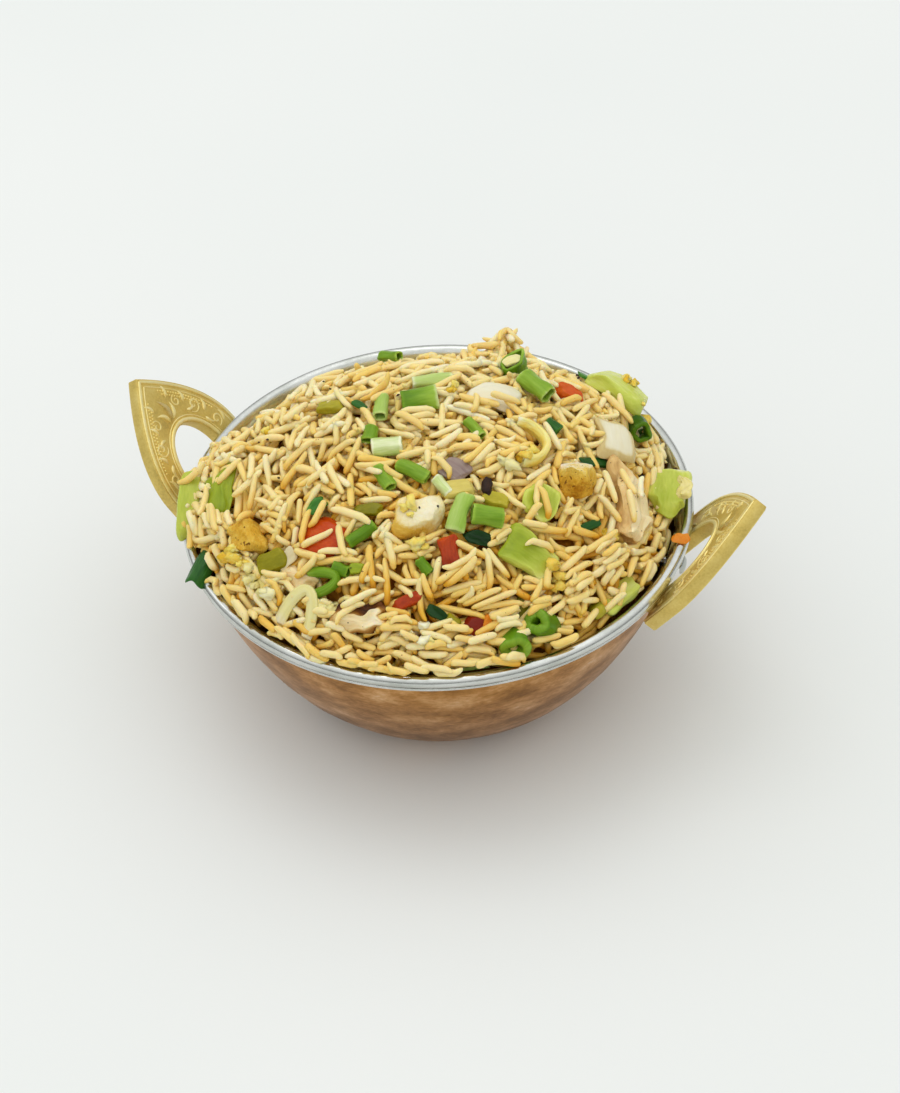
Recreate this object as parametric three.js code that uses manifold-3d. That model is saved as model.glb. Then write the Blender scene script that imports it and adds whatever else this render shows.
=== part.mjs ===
// Fried rice heaped in a small copper karahi bowl with two cast brass handles.
// Lengths are in millimetres, +Z points up, and the origin is the middle of the base.
import * as THREE from "three";
import { mergeVertices } from "three/addons/utils/BufferGeometryUtils.js";
import Module from "manifold-3d";

const wasm = await Module();
wasm.setup();

// Clearance kept between pieces that touch
const GAP = 0.3;

// Bowl: a copper jacket round a steel liner whose edge is rolled into a bead
const RIM_RADIUS = 82.5;
const RIM_HEIGHT = 67;
const BASE_RADIUS = 36.5;
const BEAD_RADIUS = 2;
const JACKET_WALL = 1.2;
const LINER_WALL = 1;
const BOWL_SECTORS = 36;
const BELLY_BEND = 1.37;
const BELLY_ROUNDNESS = 1.77;
const OUTER_STATIONS = [0, 0.05, 0.18, 0.4, 0.66, 0.94];
const INNER_STATIONS = [0, 0.07, 0.26, 0.56, 0.94];
const NECK_RADIUS = RIM_RADIUS - 1.5 * BEAD_RADIUS;
const NECK_HEIGHT = RIM_HEIGHT - BEAD_RADIUS;

// Handles: pointed arches of cast brass that lean outwards, joined by a strap under the bead
const HANDLE_TIP_REACH = 103.4;
const HANDLE_TIP_HEIGHT = 92.6;
const HANDLE_SLOPE = THREE.MathUtils.degToRad(54);
const HANDLE_THICKNESS = 4.3;
const HANDLE_HALF_WIDTH = 24;
const HANDLE_SHOULDER = 36;
const HANDLE_ARCH_POWER = 1.87;
const HANDLE_FOOT_END = 47;
const HANDLE_BEVEL = 0.5;
const HANDLE_TIP_BLUNT = 0.8;
const ARCH_STEPS = 9;
const ARCH_CROWDING = 1.2;
const WINDOW_STEPS = 6;
const WINDOW_TOP = 22;
const WINDOW_SPRING = 38;
const WINDOW_HALF_WIDTH = 12;
const STRAP_LOW = 55.5;
const STRAP_HIGH = 62.2;
const STRAP_THICKNESS = 1.6;
const STRAP_HALF_WIDTH = 20;

// Rivets: one through the strap and the wall under each handle
const RIVET_HEIGHT = 59.5;
const RIVET_SHANK_RADIUS = 1.5;
const RIVET_HEAD_RADIUS = 3;
const RIVET_HEAD_RISE = 1.4;
const RIVET_SIDES = 8;

// Heap of rice
const HEAP_RISE = 36;
const HEAP_RADIUS = 77;
const HEAP_FULLNESS = 2.4;
const HEAP_SHOULDER = 0.8;
const CORE_DEPTH = 1.6;
const RING_CROWDING = 1.45;
const GRAIN_LENGTH = 11;
const GRAIN_WIDTH = 2.5;
const GRAIN_SIDES = 4;
const GRAIN_BANDS = 3;
const GRAIN_SHORTENING = 0.3;
const GRAIN_TILT = 24;
const GRAIN_COUNT = 172;
const GRAIN_SEED = 7;
const GRAIN_SWINGS = [0, 40, 80, 130];
const GRAIN_SINKS = [0, 0.5, 1, 1.5];
const GRAIN_HOLD = 0.25;
const RIM_GRAIN_BEARINGS = { from: 184, to: 219, step: 3.5 };
const RIM_GRAIN_SWING = 70;
const RIM_GRAIN_TILT = 8;

// Depth that a topping lies in the rice unless its own lift is given
const TOPPING_SINK = 1.2;

// Steps of the even spread outwards and round, and the power that lays more grains on the steep edge
const SPREAD_RADIAL = 0.7549;
const SPREAD_ROUND = 0.5698;
const SPREAD_POWER = 0.44;

// Level of the rice against the wall, over the rim, by bearing in degrees from +X towards +Y
const EDGE_LEVELS = [
  { bearing: 0, level: -8.5 }, { bearing: 15, level: -9 }, { bearing: 35, level: -2 },
  { bearing: 45, level: 1 }, { bearing: 80, level: -2 }, { bearing: 110, level: -4 },
  { bearing: 135, level: -8 }, { bearing: 165, level: -10 }, { bearing: 176, level: -8 },
  { bearing: 187, level: 4 }, { bearing: 200, level: 7 }, { bearing: 212, level: 7 },
  { bearing: 226, level: 1 }, { bearing: 245, level: -3 }, { bearing: 320, level: -3 },
  { bearing: 345, level: -4 }, { bearing: 360, level: -8.5 },
];

// Lumps that stand out of the heap's smooth outline
const LUMPS = [
  { x: 5, y: 57, rise: 6, spread: 6 },
  { x: -55, y: 33, rise: 4, spread: 5 },
  { x: 14, y: 18, rise: 1.5, spread: 9 },
  { x: -32, y: -20, rise: 1.5, spread: 10 },
  { x: 24, y: -44, rise: 1.5, spread: 8 },
  { x: 46, y: -57, rise: -4, spread: 7 },
];

// Small bits of vegetable and egg that are fused to the rice: x, y, heading, length, width, thickness
const BITS = [
  [-16, -15, -84, 6, 4.6, 3], [-24, -42, 51, 6, 4.4, 2.4], [-25, -10, -31, 6.4, 2.6, 2],
  [15, -55, -44, 4.4, 3, 2.4], [36, 12, -14, 4.6, 4.4, 2.4], [52, -37, 12, 6.8, 6.2, 4],
  [13, -49.5, 23, 5, 4.4, 3], [-18, -24, 7, 6.5, 5.5, 3.4], [61, -14, 44, 5, 4.6, 3],
  [64, -37, 62, 5.6, 4.6, 3], [27, -62, -21, 5, 4, 2.4], [-48, -18, 10, 5, 3.6, 2.4],
  [-44, -58, -36, 6, 5, 3.4], [-42, 14, 70, 5, 3.6, 3],
];

const FINISHES = {
  copper: { color: 0x9c7446, roughness: 0.42, metalness: 0.9 },
  steel: { color: 0xd6dadb, roughness: 0.25, metalness: 1 },
  brass: { color: 0xae9445, roughness: 0.4, metalness: 0.9 },
  rice: { color: 0xe2c78c, roughness: 0.55, metalness: 0 },
  onionGreen: { color: 0x6fa32e, roughness: 0.35, metalness: 0 },
  onionPale: { color: 0xa3c460, roughness: 0.4, metalness: 0 },
  darkGreen: { color: 0x2c5f2a, roughness: 0.4, metalness: 0 },
  celery: { color: 0xb3c254, roughness: 0.35, metalness: 0 },
  olive: { color: 0x96932b, roughness: 0.4, metalness: 0 },
  red: { color: 0xb5401c, roughness: 0.3, metalness: 0 },
  brown: { color: 0x7a4424, roughness: 0.5, metalness: 0 },
  whiteOnion: { color: 0xe3d6ac, roughness: 0.3, metalness: 0 },
  purpleOnion: { color: 0xa38f7e, roughness: 0.35, metalness: 0 },
  paneer: { color: 0xeedbaa, roughness: 0.5, metalness: 0 },
  golden: { color: 0xc88f2a, roughness: 0.5, metalness: 0 },
  egg: { color: 0xe6c65a, roughness: 0.5, metalness: 0 },
  cabbage: { color: 0xe8d99a, roughness: 0.4, metalness: 0 },
  carrot: { color: 0xd8871f, roughness: 0.4, metalness: 0 },
};

// Seeded draws between 0 and 1
function drawFrom(seed) {
  let state = seed;
  return () => {
    state = (Math.imul(state, 1664525) + 1013904223) >>> 0;
    return state / 2 ** 32;
  };
}

// Solid of a closed geometry, with its shared corners merged
function solidOf(geometry) {
  const bare = geometry.index ? geometry.toNonIndexed() : geometry.clone();
  bare.deleteAttribute("normal");
  bare.deleteAttribute("uv");
  const merged = mergeVertices(bare, 1e-4);
  const corners = merged.index.array;
  const kept = [];
  for (let i = 0; i < corners.length; i += 3) {
    const [a, b, c] = [corners[i], corners[i + 1], corners[i + 2]];
    if (a !== b && b !== c && c !== a) kept.push(a, b, c);
  }
  const vertProperties = new Float32Array(merged.attributes.position.array);
  const triVerts = new Uint32Array(kept);
  return new wasm.Manifold(new wasm.Mesh({ numProp: 3, vertProperties, triVerts }));
}

// Largest single body of a solid, without scraps or sealed hollows
function largestBody(solid) {
  return solid.decompose().reduce((best, body) => (body.volume() > best.volume() ? body : best));
}

function geometryOf(solid) {
  const { vertProperties, triVerts } = largestBody(solid).getMesh();
  const geometry = new THREE.BufferGeometry();
  geometry.setAttribute("position", new THREE.BufferAttribute(vertProperties, 3));
  geometry.setIndex(new THREE.BufferAttribute(triVerts, 1));
  return geometry;
}

function named(name, finish, geometry) {
  const flat = geometry.toNonIndexed();
  flat.computeVertexNormals();
  const mesh = new THREE.Mesh(flat, new THREE.MeshStandardMaterial(FINISHES[finish]));
  mesh.name = name;
  return mesh;
}

// Turned solid of an outline of radius and height, with the axis along +Z
function turned(outline, sectors = BOWL_SECTORS) {
  const points = outline.map(([radius, height]) => new THREE.Vector2(radius, height));
  return new THREE.LatheGeometry(points, sectors).rotateX(Math.PI / 2);
}

// Outer radius of the bowl at a height
function bellyRadius(height) {
  const share = THREE.MathUtils.clamp(height / NECK_HEIGHT, 0, 1);
  const swell = (1 - (1 - share) ** BELLY_BEND) ** (1 / BELLY_ROUNDNESS);
  return BASE_RADIUS + (NECK_RADIUS - BASE_RADIUS) * swell;
}

// Outline of the bowl's wall, moved inwards by an inset along its normals
function wallOutline(inset, stations = INNER_STATIONS) {
  const outer = stations.map((share) => share * NECK_HEIGHT);
  return outer.map((height, i) => {
    const low = outer[Math.max(i - 1, 0)];
    const high = outer[Math.min(i + 1, outer.length - 1)];
    const along = new THREE.Vector2(bellyRadius(high) - bellyRadius(low), high - low).normalize();
    return [bellyRadius(height) - along.y * inset, height + along.x * inset];
  });
}

const jacketTop = RIM_HEIGHT - 2 * BEAD_RADIUS - GAP;

function copperJacket() {
  const outside = wallOutline(0, OUTER_STATIONS);
  const inside = wallOutline(JACKET_WALL).reverse();
  const topOuter = bellyRadius(jacketTop);
  return turned([
    [0, 0], ...outside, [topOuter, jacketTop], [topOuter - JACKET_WALL, jacketTop],
    ...inside, [0, JACKET_WALL],
  ]);
}

const linerInset = JACKET_WALL + GAP;
const linerInside = wallOutline(linerInset + LINER_WALL);

// Points round the rolled bead, from where the wall enters it below to its inner lip
function beadOutline() {
  const start = THREE.MathUtils.degToRad(225);
  const sweep = THREE.MathUtils.degToRad(270);
  const steps = 6;
  const centre = [RIM_RADIUS - BEAD_RADIUS, RIM_HEIGHT - BEAD_RADIUS];
  return Array.from({ length: steps + 1 }, (_, i) => {
    const angle = start + (sweep * i) / steps;
    return [centre[0] + BEAD_RADIUS * Math.cos(angle), centre[1] + BEAD_RADIUS * Math.sin(angle)];
  });
}

function steelLiner() {
  const outside = wallOutline(linerInset);
  const inside = [...linerInside].reverse();
  const floor = linerInset;
  const neck = [NECK_RADIUS - linerInset - GAP, RIM_HEIGHT - 2 * BEAD_RADIUS];
  return turned([[0, floor], ...outside, neck, ...beadOutline(), ...inside, [0, floor + LINER_WALL]]);
}

// Radius of an outline at a height, along its straight facets
function radiusOn(outline, height) {
  const [first, last] = [outline[0], outline[outline.length - 1]];
  if (height <= first[1]) return first[0];
  if (height >= last[1]) return last[0];
  const i = outline.findIndex(([, level]) => level > height);
  const [[r0, z0], [r1, z1]] = [outline[i - 1], outline[i]];
  return r0 + ((r1 - r0) * (height - z0)) / (z1 - z0);
}

// Half width of the handle's arch at a distance down its slope from the tip
function archHalfWidth(down) {
  const left = Math.max(1 - down / HANDLE_SHOULDER, 0);
  return HANDLE_HALF_WIDTH * (1 - left ** HANDLE_ARCH_POWER);
}

function windowHalfWidth(down) {
  if (down >= WINDOW_SPRING) return WINDOW_HALF_WIDTH;
  const rise = (WINDOW_SPRING - down) / (WINDOW_SPRING - WINDOW_TOP);
  return WINDOW_HALF_WIDTH * Math.sqrt(Math.max(1 - rise ** 2, 0));
}

function handleOutline() {
  const outer = [];
  for (let i = 1; i <= ARCH_STEPS; i += 1) {
    const down = HANDLE_SHOULDER * (i / ARCH_STEPS) ** ARCH_CROWDING;
    outer.push([archHalfWidth(down), -down]);
  }
  outer.push([HANDLE_HALF_WIDTH, -HANDLE_FOOT_END]);
  const inner = [[WINDOW_HALF_WIDTH, -HANDLE_FOOT_END]];
  for (let i = WINDOW_STEPS; i >= 1; i -= 1) {
    const angle = (Math.PI / 2) * (i / WINDOW_STEPS);
    const down = WINDOW_SPRING - (WINDOW_SPRING - WINDOW_TOP) * Math.cos(angle);
    inner.push([windowHalfWidth(down), -down]);
  }
  const half = [[HANDLE_TIP_BLUNT, -HANDLE_TIP_BLUNT / 3], ...outer, ...inner];
  const mirrored = [...half].reverse().map(([x, y]) => [-x, y]);
  return [...half, [0, -WINDOW_TOP], ...mirrored];
}

function handlePlate() {
  const shape = new THREE.Shape(handleOutline().map(([x, y]) => new THREE.Vector2(x, y)));
  const plate = new THREE.ExtrudeGeometry(shape, {
    depth: HANDLE_THICKNESS - 2 * HANDLE_BEVEL,
    bevelThickness: HANDLE_BEVEL,
    bevelSize: HANDLE_BEVEL,
    bevelOffset: -HANDLE_BEVEL,
    bevelSegments: 1,
  });
  plate.translate(0, 0, HANDLE_BEVEL);
  const across = new THREE.Vector3(0, 1, 0);
  const upSlope = new THREE.Vector3(Math.cos(HANDLE_SLOPE), 0, Math.sin(HANDLE_SLOPE));
  const outwards = new THREE.Vector3().crossVectors(across, upSlope);
  const placed = new THREE.Matrix4().makeBasis(across, upSlope, outwards);
  placed.setPosition(HANDLE_TIP_REACH, 0, HANDLE_TIP_HEIGHT);
  return plate.applyMatrix4(placed);
}

// Solid of everything inside the bowl's outer wall, grown by the clearance
function wallCutter() {
  const outline = wallOutline(-GAP, OUTER_STATIONS);
  const top = RIM_HEIGHT;
  const foot = [[0, -1], [outline[0][0], -1]];
  return solidOf(turned([...foot, ...outline, [bellyRadius(top) + GAP, top], [0, top]]));
}

function handleStrap() {
  const inner = (height) => bellyRadius(height) + GAP;
  const levels = [STRAP_LOW, STRAP_HIGH];
  const ring = solidOf(turned([
    [inner(levels[0]), levels[0]],
    [inner(levels[0]) + STRAP_THICKNESS, levels[0]],
    [inner(levels[1]) + STRAP_THICKNESS, levels[1]],
    [inner(levels[1]), levels[1]],
    [inner(levels[0]), levels[0]],
  ]));
  const span = new THREE.BoxGeometry(RIM_RADIUS, 2 * STRAP_HALF_WIDTH, RIM_HEIGHT);
  span.translate(RIM_RADIUS, 0, RIM_HEIGHT / 2);
  return ring.intersect(solidOf(span));
}

// Where the rivet's two heads bear: outside on the strap and inside on the liner
function rivetFaces() {
  const highSide = RIVET_HEIGHT + RIVET_HEAD_RADIUS;
  const lowSide = RIVET_HEIGHT - RIVET_HEAD_RADIUS;
  return {
    outside: bellyRadius(highSide) + STRAP_THICKNESS + 2 * GAP,
    inside: radiusOn(linerInside, lowSide) - GAP,
  };
}

// Rivet along X through the wall at +X, with a domed head inside and outside
function rivet() {
  const { outside, inside } = rivetFaces();
  const [headEdge, domeEdge] = [RIVET_HEAD_RADIUS, 0.6 * RIVET_HEAD_RADIUS];
  const [full, most] = [RIVET_HEAD_RISE, 0.7 * RIVET_HEAD_RISE];
  return alongX(turned([
    [0, inside - full], [domeEdge, inside - most], [headEdge, inside],
    [RIVET_SHANK_RADIUS, inside], [RIVET_SHANK_RADIUS, outside],
    [headEdge, outside], [domeEdge, outside + most], [0, outside + full],
  ], RIVET_SIDES));
}

// Round solid along X for the rivet's hole, or for the hollow round its inner head
function rivetBore(radius, from, to) {
  return solidOf(alongX(turned([[0, from], [radius, from], [radius, to], [0, to]], RIVET_SIDES)));
}

// Turns a shape from the Z axis onto the X axis, at the rivets' height
function alongX(geometry) {
  return geometry.rotateY(Math.PI / 2).translate(0, 0, RIVET_HEIGHT);
}

const oppositeSide = (solid) => solid.rotate([0, 0, 180]);

// Level of the rice at the wall, eased between the listed bearings
function edgeLevel(x, y) {
  const bearing = (THREE.MathUtils.radToDeg(Math.atan2(y, x)) + 360) % 360;
  const i = Math.max(EDGE_LEVELS.findIndex((entry) => entry.bearing > bearing), 1);
  const [from, to] = [EDGE_LEVELS[i - 1], EDGE_LEVELS[i]];
  const share = THREE.MathUtils.smoothstep(bearing, from.bearing, to.bearing);
  return from.level + (to.level - from.level) * share;
}

// Height of the heap's outline over the floor
function heapHeight(x, y) {
  const share = Math.min(Math.hypot(x, y) / HEAP_RADIUS, 1);
  const level = edgeLevel(x, y);
  const dome = (1 - share ** HEAP_FULLNESS) ** HEAP_SHOULDER;
  const lumps = LUMPS.reduce((sum, lump) => {
    const away = Math.hypot(x - lump.x, y - lump.y) / lump.spread;
    return sum + lump.rise * Math.exp(-(away ** 2) / 2);
  }, 0);
  return RIM_HEIGHT + level + (HEAP_RISE - level) * dome + lumps;
}

// Outward direction of the heap's surface
function heapNormal(x, y) {
  const step = 2;
  const slopeX = (heapHeight(x + step, y) - heapHeight(x - step, y)) / (2 * step);
  const slopeY = (heapHeight(x, y + step) - heapHeight(x, y - step)) / (2 * step);
  return new THREE.Vector3(-slopeX, -slopeY, 1).normalize();
}

// Core of the heap: it fills the liner and follows the outline at a depth under it.
// Its top is a disc of rings whose corners grow by six a ring, so that its facets are even.
function riceCore(depth, clearance) {
  const bed = wallOutline(linerInset + LINER_WALL + clearance);
  const corners = [];
  const faces = [];
  const addRing = (count, place) => {
    const first = corners.length / 3;
    for (let j = 0; j < count; j += 1) {
      const bearing = (2 * Math.PI * j) / count;
      const [radius, height] = place(Math.cos(bearing), Math.sin(bearing));
      corners.push(radius * Math.cos(bearing), radius * Math.sin(bearing), height);
    }
    return first;
  };
  const rimPlace = (east, north) => {
    const height = RIM_HEIGHT + edgeLevel(east, north) - depth;
    return [radiusOn(bed, height), height];
  };
  const topPlace = (share) => (east, north) => {
    const [reach, edge] = rimPlace(east, north);
    const radius = share * reach;
    return [radius, Math.max(heapHeight(radius * east, radius * north) - depth, edge)];
  };
  const sectors = 6;
  const rings = BOWL_SECTORS / sectors;
  const ringShare = (ring) => 1 - (1 - ring / rings) ** RING_CROWDING;
  let inner = addRing(1, topPlace(0));
  for (let ring = 1; ring <= rings; ring += 1) {
    const outer = addRing(sectors * ring, ring === rings ? rimPlace : topPlace(ringShare(ring)));
    for (let sector = 0; sector < sectors; sector += 1) {
      for (let k = 0; k < ring; k += 1) {
        const a = outer + sector * ring + k;
        const b = outer + ((sector * ring + k + 1) % (sectors * ring));
        const innerCount = Math.max(sectors * (ring - 1), 1);
        const c = inner + ((sector * (ring - 1) + k) % innerCount);
        faces.push(a, b, c);
        if (k > 0) faces.push(inner + ((sector * (ring - 1) + k - 1) % innerCount), a, c);
      }
    }
    inner = outer;
  }
  for (const place of bed.slice(0, -1).reverse()) {
    const outer = addRing(BOWL_SECTORS, () => place);
    for (let j = 0; j < BOWL_SECTORS; j += 1) {
      const next = (j + 1) % BOWL_SECTORS;
      faces.push(inner + j, outer + j, outer + next, inner + j, outer + next, inner + next);
    }
    inner = outer;
  }
  const foot = addRing(1, () => [0, linerInset + LINER_WALL + clearance]);
  for (let j = 0; j < BOWL_SECTORS; j += 1) faces.push(foot, inner + ((j + 1) % BOWL_SECTORS), inner + j);
  const geometry = new THREE.BufferGeometry();
  geometry.setAttribute("position", new THREE.Float32BufferAttribute(corners, 3));
  geometry.setIndex(faces);
  return geometry;
}

// Places a shape on the heap, with its X axis along a heading and its Z axis off the surface
function onHeap(geometry, spot) {
  const { x, y, turn, thick = 0, height, stand = 0, pitch = 0, roll = 0 } = spot;
  const lift = spot.lift ?? thick / 2 - TOPPING_SINK;
  const up = heapNormal(x, y).lerp(new THREE.Vector3(0, 0, 1), stand).normalize();
  const heading = THREE.MathUtils.degToRad(turn);
  const ahead = new THREE.Vector3(Math.cos(heading), Math.sin(heading), 0);
  ahead.addScaledVector(up, -ahead.dot(up)).normalize();
  const side = new THREE.Vector3().crossVectors(up, ahead);
  const frame = new THREE.Matrix4().makeBasis(ahead, side, up);
  frame.setPosition(x, y, height ?? heapHeight(x, y) + lift);
  geometry.rotateX(THREE.MathUtils.degToRad(roll)).rotateY(THREE.MathUtils.degToRad(pitch));
  return geometry.applyMatrix4(frame);
}

// Thin or thick cut piece: it may bend along, cup across, taper, thin at its edges and wave
function slab({ long, wide, thick, bend = 0, cup = 0, taper = 0, crown = 0.3, wave = 0, cells = [3, 2] }) {
  const [columns, rows] = cells;
  const corner = (i, j, side) => {
    const [u, v] = [(2 * i) / columns - 1, (2 * j) / rows - 1];
    const half = (thick / 2) * (1 - crown * (u ** 2 + v ** 2) / 2);
    const middle = -bend * u ** 2 - cup * v ** 2 + wave * Math.sin(2.3 * u + 1.7 * v) * v;
    return [(u * long) / 2, ((v * wide) / 2) * (1 - (taper * (u + 1)) / 2), middle + side * half];
  };
  const corners = [];
  for (const side of [-1, 1]) {
    for (let i = 0; i <= columns; i += 1) {
      for (let j = 0; j <= rows; j += 1) corners.push(...corner(i, j, side));
    }
  }
  const at = (i, j, side) => side * (columns + 1) * (rows + 1) + i * (rows + 1) + j;
  const faces = [];
  const quad = (a, b, c, d) => faces.push(a, b, c, a, c, d);
  for (let i = 0; i < columns; i += 1) {
    for (let j = 0; j < rows; j += 1) {
      quad(at(i, j, 1), at(i + 1, j, 1), at(i + 1, j + 1, 1), at(i, j + 1, 1));
      faces.push(at(i, j, 0), at(i + 1, j + 1, 0), at(i + 1, j, 0));
      faces.push(at(i, j, 0), at(i, j + 1, 0), at(i + 1, j + 1, 0));
    }
    quad(at(i, 0, 0), at(i + 1, 0, 0), at(i + 1, 0, 1), at(i, 0, 1));
    quad(at(i + 1, rows, 0), at(i, rows, 0), at(i, rows, 1), at(i + 1, rows, 1));
  }
  for (let j = 0; j < rows; j += 1) {
    quad(at(0, j + 1, 0), at(0, j, 0), at(0, j, 1), at(0, j + 1, 1));
    quad(at(columns, j, 0), at(columns, j + 1, 0), at(columns, j + 1, 1), at(columns, j, 1));
  }
  const geometry = new THREE.BufferGeometry();
  geometry.setAttribute("position", new THREE.Float32BufferAttribute(corners, 3));
  geometry.setIndex(faces);
  return geometry;
}

// Length of hollow green stem, whose ends may be cut on a slant
function tube({ long, wide, thick, bend = 0, slant = 0, wall = 0.9, sides = 8 }) {
  const inner = 1 - (2 * wall) / wide;
  const ring = turned([[inner, -1], [1, -1], [1, 1], [inner, 1], [inner, -1]], sides);
  ring.rotateY(Math.PI / 2).scale(long / 2, wide / 2, thick / 2);
  return bowed(ring, long, bend, slant);
}

function bowed(geometry, long, bend, slant) {
  const spot = geometry.attributes.position;
  for (let i = 0; i < spot.count; i += 1) {
    const along = (2 * spot.getX(i)) / long;
    spot.setX(i, spot.getX(i) + slant * spot.getZ(i));
    spot.setZ(i, spot.getZ(i) - bend * along ** 2);
  }
  return geometry;
}

// Stem bent flat into a loop that is open at one end
function curl({ long, wide, thick, spread }) {
  const arm = long / 2;
  const half = spread / 2;
  const route = new THREE.CatmullRomCurve3([
    new THREE.Vector3(-arm, half, 0), new THREE.Vector3(arm * 0.5, half * 0.9, 0),
    new THREE.Vector3(arm, 0, 0.3), new THREE.Vector3(arm * 0.5, -half * 0.9, 0),
    new THREE.Vector3(-arm, -half, 0),
  ]);
  const sides = 6;
  const section = new THREE.Shape(Array.from({ length: sides }, (_, i) => {
    const angle = (2 * Math.PI * i) / sides;
    return new THREE.Vector2((thick / 2) * Math.cos(angle), (wide / 2) * Math.sin(angle));
  }));
  return new THREE.ExtrudeGeometry(section, { steps: 9, extrudePath: route });
}

// One topping: its middle on the heap and its heading from +X in degrees, then its size.
// In the details lift raises it off the heap's outline, height sets it over the floor instead,
// and stand turns it from the heap's slope towards upright.
function piece(name, make, finish, [x, y, turn], [long, wide, thick], details = {}) {
  return { name, make, finish, x, y, turn, long, wide, thick, ...details };
}

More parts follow.
